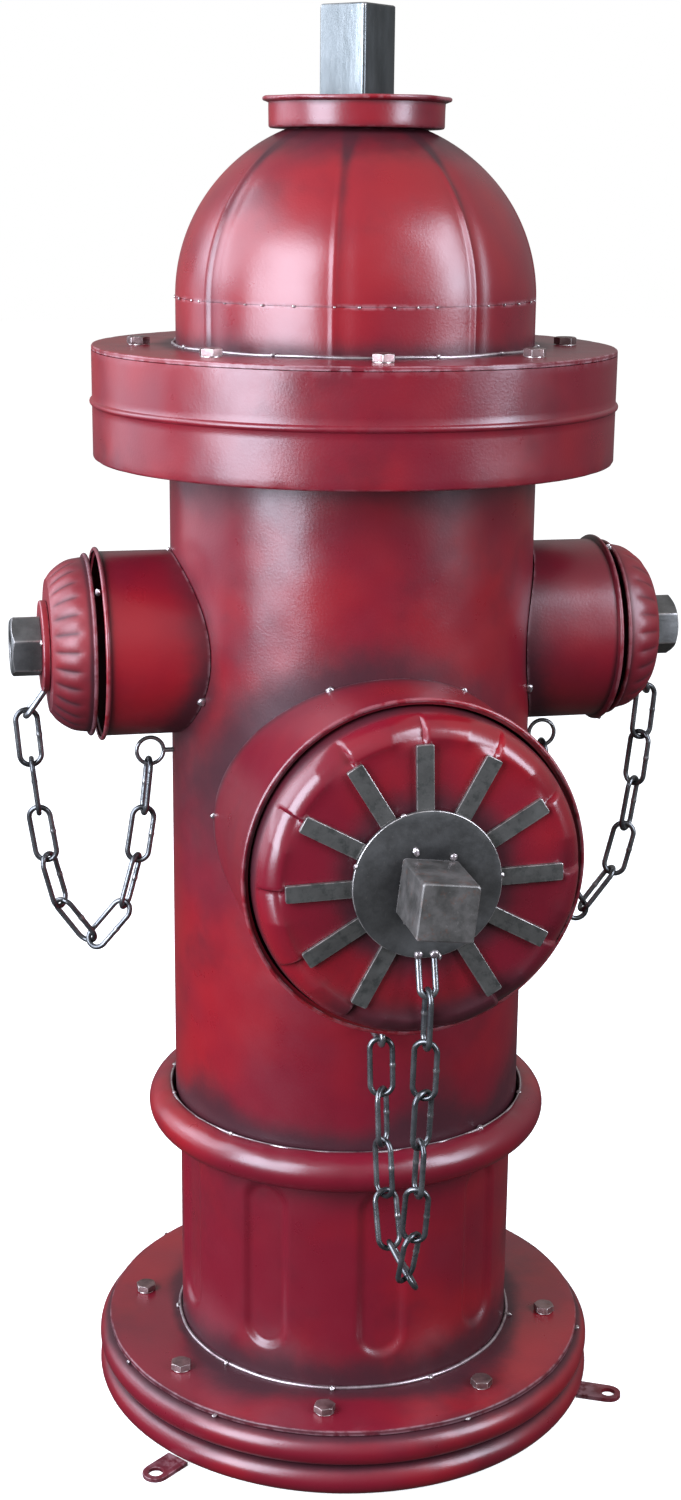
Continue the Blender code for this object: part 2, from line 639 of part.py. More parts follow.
def make_front_outlet(cutter):
    matrix = Matrix.Translation((0, 0, FRONT_OUTLET_Z)) @ UP_TO_FRONT
    make_outlet("front_outlet", FRONT_OUTLET_RADIUS, FRONT_OUTLET_REACH, SIDES, matrix, cutter)
    shoulder = FRONT_CAP_RADIUS - FRONT_CAP_FACE_RADIUS
    drop = FRONT_CAP_STAND - RIM_WIDTH / 2
    cap = [(0.0, FRONT_CAP_FACE)]
    for i in range(5):
        angle = math.pi / 2 * (1 - i / 4)
        cap.append(
            (
                FRONT_CAP_FACE_RADIUS + shoulder * math.cos(angle),
                FRONT_CAP_FACE - drop * (1 - math.sin(angle)),
            )
        )
    cap.append((FRONT_CAP_RADIUS, FRONT_OUTLET_REACH - FRONT_CAP_SKIRT))
    turned_shell("front_cap", cap, PRESSED_WALL, paint, SIDES, matrix)

    outline = []
    for i in range(BAR_COUNT):
        angle = BAR_TURN - math.pi / 2 + BAR_PITCH * (i + 1)
        along = Vector((math.cos(angle), math.sin(angle)))
        across = Vector((-along.y, along.x)) * (BAR_WIDTH / 2)
        root_point, end_point = along * BAR_ROOT_RADIUS, along * BAR_END_RADIUS
        outline += [root_point - across, end_point - across, end_point + across, root_point + across]
    curve = bpy.data.curves.new("front_cap_bars", "CURVE")
    curve.dimensions = "2D"
    curve.fill_mode = "BOTH"
    curve.extrude = BAR_THICKNESS / 2
    spline = curve.splines.new("POLY")
    spline.points.add(len(outline) - 1)
    for point, co in zip(spline.points, outline):
        point.co = (co.x, co.y, 0.0, 1.0)
    spline.use_cyclic_u = True
    curve.materials.append(steel)
    bars = bpy.data.objects.new("front_cap_bars", curve)
    hydrant.objects.link(bars)
    lift = Matrix.Translation((0, 0, BARS_BACK + BAR_THICKNESS / 2))
    place(bars, matrix @ lift, root)

    disc = prism_mesh("front_hub_disc", HUB_RADIUS, HUB_THICKNESS, SIDES, HUB_BACK)
    disc.transform(matrix)
    hub = mesh_object("front_hub_disc", disc, steel)
    loop = make_loop("hub_loop", *hub_loop())
    add_boolean(hub, "UNION", helper_object("hub_loop", loop))

    drop = Matrix.Translation((0, -FRONT_NUT_BACK, FRONT_OUTLET_Z - FRONT_NUT_DROP))
    turn = Matrix.Rotation(FRONT_NUT_TURN, 4, "Y")
    make_square_nut("front_cap_nut", FRONT_NUT_LENGTH, drop @ turn @ UP_TO_FRONT)


# ---------------------------------------------------------------- what the chains hang from


def eye_centre(side):
    return Vector((SIDE_SIGN[side] * (BARREL_RADIUS + EYE_OFFSET), 0, EYE_Z))


def staple_centre():
    return Vector((STAPLE_X, -(BARREL_RADIUS + STAPLE_REACH), STAPLE_Z))


def make_eye(side):
    """A ring of wire, upright and radial, on a short stub welded to the barrel."""
    centre = eye_centre(side)
    ring = [
        centre + EYE_RADIUS * Vector((math.cos(a), 0, math.sin(a)))
        for a in (2 * math.pi * i / 16 for i in range(16))
    ]
    eye = mesh_object(f"{side}_eye_ring", wire_mesh(f"{side}_eye_ring", ring, EYE_WIRE, True), steel)
    stub_length = EYE_OFFSET - EYE_RADIUS - GAP
    stub = prism_mesh(f"{side}_eye_stub", EYE_WIRE * 0.6, stub_length, 8, BARREL_RADIUS + GAP)
    stub.transform(Matrix.Translation((0, 0, EYE_Z)) @ UP_TO_SIDE[side])
    add_boolean(eye, "UNION", helper_object(f"{side}_eye_stub", stub))


def make_staple():
    centre = staple_centre()
    flat = math.sqrt(BARREL_RADIUS**2 - STAPLE_X**2)
    leg = Vector((0, -centre.y - flat - GAP, 0))
    bend = half_turn(centre, Vector((0, 0, 1)), Vector((0, -1, 0)), LOOP_RADIUS, 8)
    points = [bend[0] + leg, *bend, bend[-1] + leg]
    mesh_object("front_staple", wire_mesh("front_staple", points, LOOP_WIRE, False), steel)


# ---------------------------------------------------------------- chains


def unit_in_plane(direction, normal):
    flat = direction - normal * direction.dot(normal)
    return flat.normalized()


class Eye:
    """A fixed bend of wire that one end of a chain hooks into."""

    def __init__(self, centre, normal, radius, wire):
        self.centre, self.normal, self.radius = Vector(centre), Vector(normal), radius
        self.reach = (wire + LINK_GAP) / 2


CHAIN_ENDS = {
    "left": lambda: (
        Eye(eye_centre("left"), (0, 1, 0), EYE_RADIUS, EYE_WIRE),
        loop_eye(*side_loop("left")),
    ),
    "right": lambda: (
        Eye(eye_centre("right"), (0, 1, 0), EYE_RADIUS, EYE_WIRE),
        loop_eye(*side_loop("right")),
    ),
    "front": lambda: (
        Eye(staple_centre(), (1, 0, 0), LOOP_RADIUS, LOOP_WIRE),
        loop_eye(*hub_loop()),
    ),
}


def walk_chain(pull, start, end, turns):
    """Lays the links one after another for the pull (x, y, z) at the first contact, in link weights.
    Returns the contacts, the links' matrices and how far the last contact misses the end eye."""
    bend = (LINK_WIDTH - LINK_WIRE) / 2
    straight = LINK_LENGTH - LINK_WIDTH
    reach = (LINK_WIRE + LINK_GAP) / 2
    across = Vector((pull[0], pull[1], 0)).cross(Vector((0, 0, 1))).normalized()
    pulls = [Vector((pull[0], pull[1], pull[2] + i)) for i in range(len(turns) + 1)]
    ways = [p.normalized() for p in pulls]
    contact = start.centre + start.radius * unit_in_plane(ways[0], start.normal)
    contact -= start.reach * ways[0]
    contacts, matrices = [contact], []
    for i, turn in enumerate(turns):
        along = (pulls[i] + pulls[i + 1]).normalized()
        beside = across.cross(along)
        angle = math.radians(turn)
        width = math.cos(angle) * beside + math.sin(angle) * across
        normal = along.cross(width)
        first = contact - reach * ways[i] - bend * unit_in_plane(-ways[i], normal)
        last = first + straight * along
        matrix = Matrix((width, normal, along)).transposed().to_4x4()
        matrices.append(Matrix.Translation((first + last) / 2) @ matrix)
        contact = last + bend * unit_in_plane(ways[i + 1], normal) - reach * ways[i + 1]
        contacts.append(contact)
    hook = unit_in_plane(-ways[-1], end.normal)
    miss = contact - end.reach * ways[-1] - end.radius * hook - end.centre
    return contacts, matrices, miss


def hang_chain(name):
    """Finds the pull at which the chain, hanging under its own weight, ends at its end eye."""
    start, end = CHAIN_ENDS[name]()
    turns = LINK_TURNS[name]
    level = (end.centre - start.centre).to_2d().normalized()
    pull = np.array([level.x, level.y, -len(turns) / 2])
    for _ in range(60):
        miss = np.array(walk_chain(pull, start, end, turns)[2])
        if np.abs(miss).max() < 1e-8:
            break
        slope = np.empty((3, 3))
        for k in range(3):
            nudge = np.zeros(3)
            nudge[k] = 1e-5
            slope[:, k] = (np.array(walk_chain(pull + nudge, start, end, turns)[2]) - miss) / 1e-5
        step = np.linalg.solve(slope, -miss)
        pull = pull + step * min(1.0, 0.3 / np.abs(step).max())
    return walk_chain(pull, start, end, turns)[:2]


def link_points():
    """One link's centre line: two straight sides and two half circles, long way along Z."""
    bend = (LINK_WIDTH - LINK_WIRE) / 2
    half = (LINK_LENGTH - LINK_WIDTH) / 2
    up, side = Vector((0, 0, 1)), Vector((1, 0, 0))
    top = half_turn(up * half, side, up, bend, LINK_BEND_STEPS)
    bottom = half_turn(-up * half, -side, -up, bend, LINK_BEND_STEPS)
    return top + bottom


def make_chain(name, curve):
    """Each link turns with an empty at its contact with the link before it."""
    contacts, matrices = hang_chain(name)
    parent = root
    for i, matrix in enumerate(matrices):
        number = f"{i + 1:02d}"
        parent = new_empty(f"{name}_joint_{number}", contacts[i], parent)
        link = bpy.data.objects.new(f"{name}_link_{number}", curve)
        hydrant.objects.link(link)
        place(link, matrix, parent)


def make_chains():
    curve = wire_curve("link_wire", link_points(), LINK_WIRE, True)
    curve.materials.append(chain_steel)
    for name in LINK_TURNS:
        make_chain(name, curve)


# ---------------------------------------------------------------- the whole hydrant

for old in list(bpy.data.objects):
    bpy.data.objects.remove(old)

hydrant = new_collection("hydrant")
helpers = new_collection("helpers")
helpers.hide_render = True
root = new_empty("hydrant_axis", (0, 0, 0), None)

paint = new_material("red_paint", (0.35, 0.016, 0.030), 0.38, 0.0)
steel = new_material("dark_steel", (0.16, 0.155, 0.15), 0.45, 1.0)
chain_steel = new_material("chain_steel", (0.22, 0.23, 0.25), 0.35, 1.0)

barrel_cutter = helper_object(
    "barrel_cutter",
    prism_mesh("barrel_cutter", BARREL_RADIUS + GAP, BARREL_HEIGHT, SIDES, BARREL_Z),
)

make_base()
for tab_number, tab_angle in enumerate(TAB_ANGLES, start=1):
    make_tab(tab_number, tab_angle)
make_body()
make_flange()
make_dome()
make_square_nut(
    "crown_nut",
    CROWN_NUT_HEIGHT,
    Matrix.Translation((0, 0, CROWN_NUT_Z)) @ Matrix.Rotation(CROWN_NUT_TURN, 4, "Z"),
)
for outlet_side in SIDE_SIGN:
    make_side_outlet(outlet_side, barrel_cutter)
    make_eye(outlet_side)
make_front_outlet(barrel_cutter)
make_staple()
make_chains()
for solid in hydrant.objects:
    if solid.type == "MESH":
        smooth(solid.data)
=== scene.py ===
"""A red fire hydrant welded up from thin sheet steel, with three hanging chains.

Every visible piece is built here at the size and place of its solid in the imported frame.
"""

import json
import math

import bmesh
import bpy
import numpy as np
from mathutils import Matrix, Vector, noise

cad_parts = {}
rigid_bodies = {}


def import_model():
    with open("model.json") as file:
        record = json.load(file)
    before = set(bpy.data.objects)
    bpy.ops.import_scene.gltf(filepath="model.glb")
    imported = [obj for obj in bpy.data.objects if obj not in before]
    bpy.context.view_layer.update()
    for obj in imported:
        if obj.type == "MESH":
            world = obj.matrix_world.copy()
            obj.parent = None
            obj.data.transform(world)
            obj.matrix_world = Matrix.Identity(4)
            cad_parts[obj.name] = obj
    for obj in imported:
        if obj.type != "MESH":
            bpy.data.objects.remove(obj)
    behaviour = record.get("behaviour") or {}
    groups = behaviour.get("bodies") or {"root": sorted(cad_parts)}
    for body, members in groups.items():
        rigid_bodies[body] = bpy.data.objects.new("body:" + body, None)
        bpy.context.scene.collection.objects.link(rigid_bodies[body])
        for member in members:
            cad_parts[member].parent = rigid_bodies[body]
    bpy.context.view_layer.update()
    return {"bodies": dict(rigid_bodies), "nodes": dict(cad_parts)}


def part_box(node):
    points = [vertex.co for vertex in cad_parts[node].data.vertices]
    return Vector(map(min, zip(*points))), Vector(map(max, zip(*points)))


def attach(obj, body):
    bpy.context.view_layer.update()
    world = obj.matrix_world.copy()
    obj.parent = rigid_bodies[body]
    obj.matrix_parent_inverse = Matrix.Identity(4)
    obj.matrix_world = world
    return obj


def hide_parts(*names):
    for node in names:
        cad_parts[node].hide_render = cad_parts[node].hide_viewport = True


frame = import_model()

BODY = "hydrant"
ROUND = 192  # faces round a large turned piece
TUBE_ROUND = 144

# ---------------------------------------------------------------- sizes read from the frame


def radius_of(node):
    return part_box(node)[1].x


def bottom_of(node):
    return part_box(node)[0].z


def top_of(node):
    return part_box(node)[1].z


BASE_R = radius_of("base_lower_ring")
PLATE_R = radius_of("base_plate")
PLATE_Z = bottom_of("base_plate")
PLATE_TOP = PLATE_Z + 0.0036
PEDESTAL_R = radius_of("pedestal")
COLLAR_R = radius_of("collar") + 0.0002
COLLAR_BEAD = 0.0135
BARREL_R = radius_of("barrel")
FLANGE_R = radius_of("flange_drum")
FLANGE_PLATE_Z = bottom_of("flange_top_plate")
FLANGE_TOP = FLANGE_PLATE_Z + 0.003
DOME_R = radius_of("dome_skirt")
FRONT_Z = (bottom_of("front_outlet") + top_of("front_outlet")) / 2
FRONT_TUBE_R = radius_of("front_outlet") - 0.003
FRONT_REACH = -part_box("front_outlet")[0].y
FRONT_FACE = -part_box("front_cap")[0].y
SIDE_Z = (bottom_of("left_outlet") + top_of("left_outlet")) / 2
SIDE_TUBE_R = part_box("left_outlet")[1].y - 0.003
SIDE_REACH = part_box("right_outlet")[1].x
SIDE_CAP_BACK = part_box("right_cap")[0].x
SIDE_CAP_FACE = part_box("right_cap")[1].x
SIDE_NUT = {"left": 21.0, "right": 32.0}
CROWN_TURN = math.radians(42.0)
NUT_WIDTH = 0.0349
WIRE_LINK = 0.0036
LINK_LENGTH = 0.0415
LINK_WIDTH = 0.018
FRONT_ANGLE = -math.pi / 2  # -Y, as an angle round the upright axis

ALONG = {
    "front": Matrix.Rotation(math.pi / 2, 4, "X"),
    "left": Matrix(((0, 0, -1, 0), (-1, 0, 0, 0), (0, 1, 0, 0), (0, 0, 0, 1))),
    "right": Matrix(((0, 0, 1, 0), (1, 0, 0, 0), (0, 1, 0, 0), (0, 0, 0, 1))),
}

# ---------------------------------------------------------------- small mathematics


def smoothstep(low, high, value):
    t = np.clip((np.asarray(value, float) - low) / (high - low), 0.0, 1.0)
    return t * t * (3 - 2 * t)


def bump(distance, width):
    return np.exp(-((np.asarray(distance) / width) ** 2))


def ripple(angle, seed, waves=(3, 7, 13, 29)):
    """A smooth closed random curve round a ring, about -1 to 1."""
    rng = np.random.default_rng(seed)
    total = np.zeros_like(np.asarray(angle, float))
    for wave in waves:
        total = total + rng.normal() / math.sqrt(wave) * np.cos(wave * angle + rng.uniform(0, 6.3))
    return total


def arc(centre_r, centre_z, radius, start, end, steps):
    angles = np.radians(np.linspace(start, end, steps + 1))
    return [(centre_r + radius * math.cos(a), centre_z + radius * math.sin(a)) for a in angles]


def densify(profile, step):
    """More points along the straight runs of a profile, none further apart than step."""
    points = [profile[0]]
    for (r0, z0), (r1, z1) in zip(profile, profile[1:]):
        count = max(1, math.ceil(math.hypot(r1 - r0, z1 - z0) / step))
        points += [(r0 + (r1 - r0) * i / count, z0 + (z1 - z0) * i / count) for i in range(1, count + 1)]
    return points


# ---------------------------------------------------------------- making and finishing meshes


def revolve(name, profile, steps, shape=None):
    """A profile of (r, z) points, top to bottom down its outer side, turned round Z.
    shape takes and gives arrays of angle, r and z."""
    points = np.array(profile, float)
    rows = len(points)
    angle = np.repeat(np.arange(steps) * 2 * math.pi / steps, rows)
    r = np.tile(points[:, 0], steps)
    z = np.tile(points[:, 1], steps)
    if shape:
        angle, r, z = shape(angle, r, z)
    places = np.column_stack([r * np.cos(angle), r * np.sin(angle), z])
    faces = []
    for i in range(steps):
        a, b = i * rows, (i + 1) % steps * rows
        faces += [(a + k, a + k + 1, b + k + 1, b + k) for k in range(rows - 1)]
    mesh = bpy.data.meshes.new(name)
    mesh.from_pydata(places.tolist(), [], faces)
    work = bmesh.new()
    work.from_mesh(mesh)
    bmesh.ops.remove_doubles(work, verts=work.verts, dist=0.000002)
    bmesh.ops.dissolve_degenerate(work, dist=0.000001, edges=work.edges)
    work.to_mesh(mesh)
    work.free()
    return mesh


def modified(mesh, kind, **settings):
    """The mesh after one modifier."""
    obj = bpy.data.objects.new("work", mesh)
    bpy.context.scene.collection.objects.link(obj)
    modifier = obj.modifiers.new(kind, kind)
    for key, value in settings.items():
        setattr(modifier, key, value)
    bpy.context.view_layer.update()
    graph = bpy.context.evaluated_depsgraph_get()
    result = bpy.data.meshes.new_from_object(obj.evaluated_get(graph))
    bpy.data.objects.remove(obj)
    return result


def sheet(mesh, wall):
    return modified(mesh, "SOLIDIFY", thickness=wall, offset=-1, use_even_offset=True)


def softened(mesh, width, segments=2):
    return modified(
        mesh, "BEVEL", width=width, segments=segments, limit_method="ANGLE", angle_limit=0.5
    )


def vertex_array(mesh, what="co"):
    values = np.empty(len(mesh.vertices) * 3)
    source = mesh.vertices if what == "co" else mesh.vertex_normals
    source.foreach_get("co" if what == "co" else "vector", values)
    return values.reshape(-1, 3)


def store(mesh, name, values):
    layer = mesh.attributes.new(name, "FLOAT", "POINT")
    layer.data.foreach_set("value", np.clip(values, 0, 1).astype(np.float32))


def sharpness(mesh):
    """How strongly the surface turns away at each vertex: 0 where flat, 1 on a crisp outer edge."""
    places, normals = vertex_array(mesh), vertex_array(mesh, "normal")
    edges = np.empty(len(mesh.edges) * 2, int)
    mesh.edges.foreach_get("vertices", edges)
    a, b = edges.reshape(-1, 2).T
    way = places[b] - places[a]
    length = np.maximum(np.linalg.norm(way, axis=1), 1e-9)
    way /= length[:, None]
    turn = np.zeros(len(places))
    count = np.zeros(len(places))
    for start, sign in ((a, -1.0), (b, 1.0)):
        np.add.at(turn, start, sign * (normals[start] * way).sum(1) / np.maximum(length, 0.0004))
        np.add.at(count, start, 1)
    return smoothstep(90, 420, turn / np.maximum(count, 1))


def outward(mesh):
    work = bmesh.new()
    work.from_mesh(mesh)
    if work.calc_volume(signed=True) < 0:
        bmesh.ops.reverse_faces(work, faces=work.faces)
    work.to_mesh(mesh)
    work.free()


def finish(name, mesh, material, stands_for=None, soot_and_shade=None, body=BODY, flat=False):
    """Places a closed mesh in the scene as a finished piece.
    The soot function gives, from an array of places, how dark each one is: dark patina on most pieces,
    painted shade in a few places."""
    outward(mesh)
    mesh.name = name
    mesh.shade_smooth()
    mesh.set_sharp_from_angle(angle=math.radians(20 if flat else 40))
    store(mesh, "bare", sharpness(mesh))
    places = vertex_array(mesh)
    store(mesh, "soot_and_shade", soot_and_shade(places) if soot_and_shade else np.zeros(len(places)))
    mesh.materials.clear()
    mesh.materials.append(material)
    obj = bpy.data.objects.new(name, mesh)
    bpy.context.scene.collection.objects.link(obj)
    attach(obj, body)
    if stands_for:
        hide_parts(stands_for)
    return obj


def moved(mesh, matrix):
    mesh.transform(matrix)
    return mesh


def joined(meshes):
    work = bmesh.new()
    for mesh in meshes:
        work.from_mesh(mesh)
    result = bpy.data.meshes.new("joined")
    work.to_mesh(result)
    work.free()
    return result


# ---------------------------------------------------------------- geometry node trees


class Tree:
    """A small writer of node trees."""

    def __init__(self, name, kind="GeometryNodeTree"):
        self.group = bpy.data.node_groups.new(name, kind)
        self.keys = {}
        self.group.interface.new_socket("Geometry", in_out="INPUT", socket_type="NodeSocketGeometry")
        self.group.interface.new_socket("Geometry", in_out="OUTPUT", socket_type="NodeSocketGeometry")
        self.source = self.group.nodes.new("NodeGroupInput")

    def input(self, name, kind="Float"):
        item = self.group.interface.new_socket(name, in_out="INPUT", socket_type=f"NodeSocket{kind}")
        self.keys[name] = item.identifier
        return self.source.outputs[name]

    def node(self, kind, settings=None, **inputs):
        node = self.group.nodes.new(kind)
        for key, value in (settings or {}).items():
            setattr(node, key, value)
        for key, value in inputs.items():
            self.feed(node.inputs[key.replace("_", " ")], value)
        return node

    def feed(self, socket, value):
        if isinstance(value, bpy.types.NodeSocket):
            self.group.links.new(value, socket)
        else:
            socket.default_value = value

    def math(self, operation, *values):
        node = self.group.nodes.new("ShaderNodeMath")
        node.operation = operation
        for socket, value in zip(node.inputs, values):
            self.feed(socket, value)
        return node.outputs[0]

    def close(self, geometry, material):
        real = self.node("GeometryNodeRealizeInstances", Geometry=geometry)
        paint = self.node("GeometryNodeSetMaterial", Geometry=real.outputs[0], Material=material)
        end = self.group.nodes.new("NodeGroupOutput")
        self.group.links.new(paint.outputs[0], end.inputs[0])


def run_tree(tree, **values):
    """The plain mesh that a tree makes with these inputs."""
    obj = bpy.data.objects.new("work", bpy.data.meshes.new("work"))
    bpy.context.scene.collection.objects.link(obj)
    modifier = obj.modifiers.new("Nodes", "NODES")
    modifier.node_group = tree.group
    for name, value in values.items():
        modifier[tree.keys[name.replace("_", " ")]] = value
    bpy.context.view_layer.update()
    graph = bpy.context.evaluated_depsgraph_get()
    mesh = bpy.data.meshes.new_from_object(obj.evaluated_get(graph))
    bpy.data.objects.remove(obj)
    return mesh


def ring_tree(material):
    """Copies of one piece round the upright axis."""
    tree = Tree("ring of copies")
    piece, count = tree.input("Piece", "Object"), tree.input("Count", "Int")
    first, spacing = tree.input("First Angle"), tree.input("Spacing")
    radius = tree.input("Radius")
    points = tree.node("GeometryNodePoints", Count=count)
    index = tree.node("GeometryNodeInputIndex").outputs[0]
    angle = tree.math("MULTIPLY_ADD", index, spacing, first)
    place = tree.node(
        "ShaderNodeCombineXYZ",
        X=tree.math("MULTIPLY", tree.math("COSINE", angle), radius),
        Y=tree.math("MULTIPLY", tree.math("SINE", angle), radius),
    )
    set_place = tree.node("GeometryNodeSetPosition", Geometry=points.outputs[0], Position=place.outputs[0])
    turn = tree.node("ShaderNodeCombineXYZ", Z=angle)
    info = tree.node("GeometryNodeObjectInfo", Object=piece)
    copies = tree.node(
        "GeometryNodeInstanceOnPoints",
        Points=set_place.outputs[0],
        Instance=info.outputs["Geometry"],
        Rotation=turn.outputs[0],
    )
    tree.close(copies.outputs[0], material)
    return tree


def tack_tree(material):
    """Small weld tacks at uneven places round a circle: lumpy beads of uneven size."""
    tree = Tree("weld tacks")
    count, radius = tree.input("Count", "Int"), tree.input("Radius")
    size, height = tree.input("Size"), tree.input("Height")
    first, seed = tree.input("First Angle"), tree.input("Seed", "Int")
    points = tree.node("GeometryNodePoints", Count=count)
    index = tree.node("GeometryNodeInputIndex").outputs[0]

    def uneven(low, high, offset):
        node = tree.node("FunctionNodeRandomValue", {"data_type": "FLOAT"})
        node.inputs[2].default_value = low
        node.inputs[3].default_value = high
        tree.feed(node.inputs["ID"], index)
        tree.feed(node.inputs["Seed"], tree.math("ADD", seed, offset))
        return node.outputs[1]

    step = tree.math("DIVIDE", 2 * math.pi, count)
    angle = tree.math("MULTIPLY_ADD", tree.math("ADD", index, uneven(-0.3, 0.3, 0)), step, first)
    place = tree.node(
        "ShaderNodeCombineXYZ",
        X=tree.math("MULTIPLY", tree.math("COSINE", angle), radius),
        Y=tree.math("MULTIPLY", tree.math("SINE", angle), radius),
        Z=height,
    )
    set_place = tree.node("GeometryNodeSetPosition", Geometry=points.outputs[0], Position=place.outputs[0])
    bead = tree.node("GeometryNodeMeshIcoSphere", Radius=size, Subdivisions=3)
    lumps = tree.node("ShaderNodeTexNoise", {"noise_dimensions": "3D"}, Scale=700.0)
    away = tree.node("ShaderNodeVectorMath", {"operation": "SCALE"})
    tree.feed(away.inputs[0], tree.node("GeometryNodeInputNormal").outputs[0])
    tree.feed(away.inputs["Scale"], tree.math("MULTIPLY", tree.math("SUBTRACT", lumps.outputs[0], 0.5), size))
    lumpy = tree.node("GeometryNodeSetPosition", Geometry=bead.outputs[0], Offset=away.outputs[0])
    stretch = tree.node(
        "ShaderNodeCombineXYZ", X=uneven(0.7, 1.5, 1), Y=uneven(0.6, 1.3, 2), Z=uneven(0.6, 1.2, 3)
    )
    turn = tree.node("ShaderNodeCombineXYZ", Z=angle)
    copies = tree.node(
        "GeometryNodeInstanceOnPoints",
        Points=set_place.outputs[0],
        Instance=lumpy.outputs[0],
        Rotation=turn.outputs[0],
        Scale=stretch.outputs[0],
    )
    tree.close(copies.outputs[0], material)
    return tree


def link_tree(material):
    """One chain link: a wire bent round two half circles and closed by a small butt weld."""
    tree = Tree("chain link")
    length, width, wire = tree.input("Length"), tree.input("Width"), tree.input("Wire")
    path = tree.node("GeometryNodeCurvePrimitiveCircle", Resolution=64, Radius=1.0)
    place = tree.node("ShaderNodeSeparateXYZ")
    tree.feed(place.inputs[0], tree.node("GeometryNodeInputPosition").outputs[0])
    bend = tree.math("MULTIPLY", tree.math("SUBTRACT", width, wire), 0.5)
    straight = tree.math("MULTIPLY", tree.math("SUBTRACT", length, width), 0.5)
    side = tree.math("MULTIPLY", place.outputs["X"], bend)
    end = tree.math("SIGN", place.outputs["Y"])
    rise = tree.math("MULTIPLY_ADD", place.outputs["Y"], bend, tree.math("MULTIPLY", end, straight))
    new_place = tree.node("ShaderNodeCombineXYZ", X=side, Z=rise)
    bent = tree.node("GeometryNodeSetPosition", Geometry=path.outputs[0], Position=new_place.outputs[0])
    dense = tree.node("GeometryNodeResampleCurve", Curve=bent.outputs[0], Count=96)
    spot = tree.node("ShaderNodeSeparateXYZ")
    tree.feed(spot.inputs[0], tree.node("GeometryNodeInputPosition").outputs[0])
    near = tree.math("DIVIDE", tree.math("SUBTRACT", spot.outputs["Z"], 0.001), 0.0011)
    bead = tree.math("EXPONENT", tree.math("MULTIPLY", tree.math("MULTIPLY", near, near), -1.0))
    right = tree.math("GREATER_THAN", spot.outputs["X"], 0.0)
    swell = tree.math("MULTIPLY_ADD", tree.math("MULTIPLY", bead, right), 0.2, 1.0)
    thick = tree.node("GeometryNodeSetCurveRadius", Curve=dense.outputs[0], Radius=swell)
    section = tree.node("GeometryNodeCurvePrimitiveCircle", {"mode": "RADIUS"}, Resolution=14)
    tree.feed(section.inputs["Radius"], tree.math("MULTIPLY", wire, 0.5))
    rod = tree.node("GeometryNodeCurveToMesh", Curve=thick.outputs[0], Profile_Curve=section.outputs[0])
    if "Scale" in rod.inputs:
        tree.feed(rod.inputs["Scale"], swell)
    tree.close(rod.outputs[0], material)
    return tree


def pedestal_tree(material):
    """An open tube with round-ended upright flutes pressed into it."""
    tree = Tree("fluted tube")
    radius, low, high = tree.input("Radius"), tree.input("Bottom"), tree.input("Top")
    count, first = tree.input("Flutes", "Int"), tree.input("First Angle")
    half, depth = tree.input("Half Width"), tree.input("Depth")
    margin = tree.input("End Margin")
    tube = tree.node(
        "GeometryNodeMeshCylinder",
        {"fill_type": "NONE"},
        Vertices=360,
        Side_Segments=90,
        Radius=radius,
        Depth=tree.math("SUBTRACT", high, low),
    )
    place = tree.node("ShaderNodeSeparateXYZ")
    tree.feed(place.inputs[0], tree.node("GeometryNodeInputPosition").outputs[0])
    middle = tree.math("MULTIPLY", tree.math("ADD", high, low), 0.5)
    z = tree.math("ADD", place.outputs["Z"], middle)
    angle = tree.math("ARCTAN2", place.outputs["Y"], place.outputs["X"])
    pitch = tree.math("DIVIDE", 2 * math.pi, count)
    turns = tree.math("DIVIDE", tree.math("SUBTRACT", angle, first), pitch)
    local = tree.math("SUBTRACT", turns, tree.math("ROUND", turns))
    across = tree.math("MULTIPLY", tree.math("MULTIPLY", local, pitch), radius)
    end_low = tree.math("ADD", tree.math("ADD", low, margin), half)
    end_high = tree.math("SUBTRACT", tree.math("SUBTRACT", high, 0.005), half)
    over = tree.math("MAXIMUM", tree.math("SUBTRACT", z, end_high), tree.math("SUBTRACT", end_low, z))
    over = tree.math("MAXIMUM", over, 0.0)
    reach = tree.math(
        "SQRT", tree.math("ADD", tree.math("MULTIPLY", across, across), tree.math("MULTIPLY", over, over))
    )
    inside = tree.node("ShaderNodeMapRange", {"interpolation_type": "SMOOTHSTEP"})
    tree.feed(inside.inputs["Value"], reach)
    tree.feed(inside.inputs["From Min"], tree.math("ADD", half, 0.0008))
    tree.feed(inside.inputs["From Max"], tree.math("SUBTRACT", half, 0.0050))
    hollow = tree.math("MULTIPLY", inside.outputs[0], depth)
    shrink = tree.math("DIVIDE", tree.math("SUBTRACT", radius, hollow), radius)
    new_place = tree.node(
        "ShaderNodeCombineXYZ",
        X=tree.math("MULTIPLY", place.outputs["X"], shrink),
        Y=tree.math("MULTIPLY", place.outputs["Y"], shrink),
        Z=z,
    )
    pressed = tree.node("GeometryNodeSetPosition", Geometry=tube.outputs[0], Position=new_place.outputs[0])
    tree.close(pressed.outputs[0], material)
    return tree


# ---------------------------------------------------------------- materials


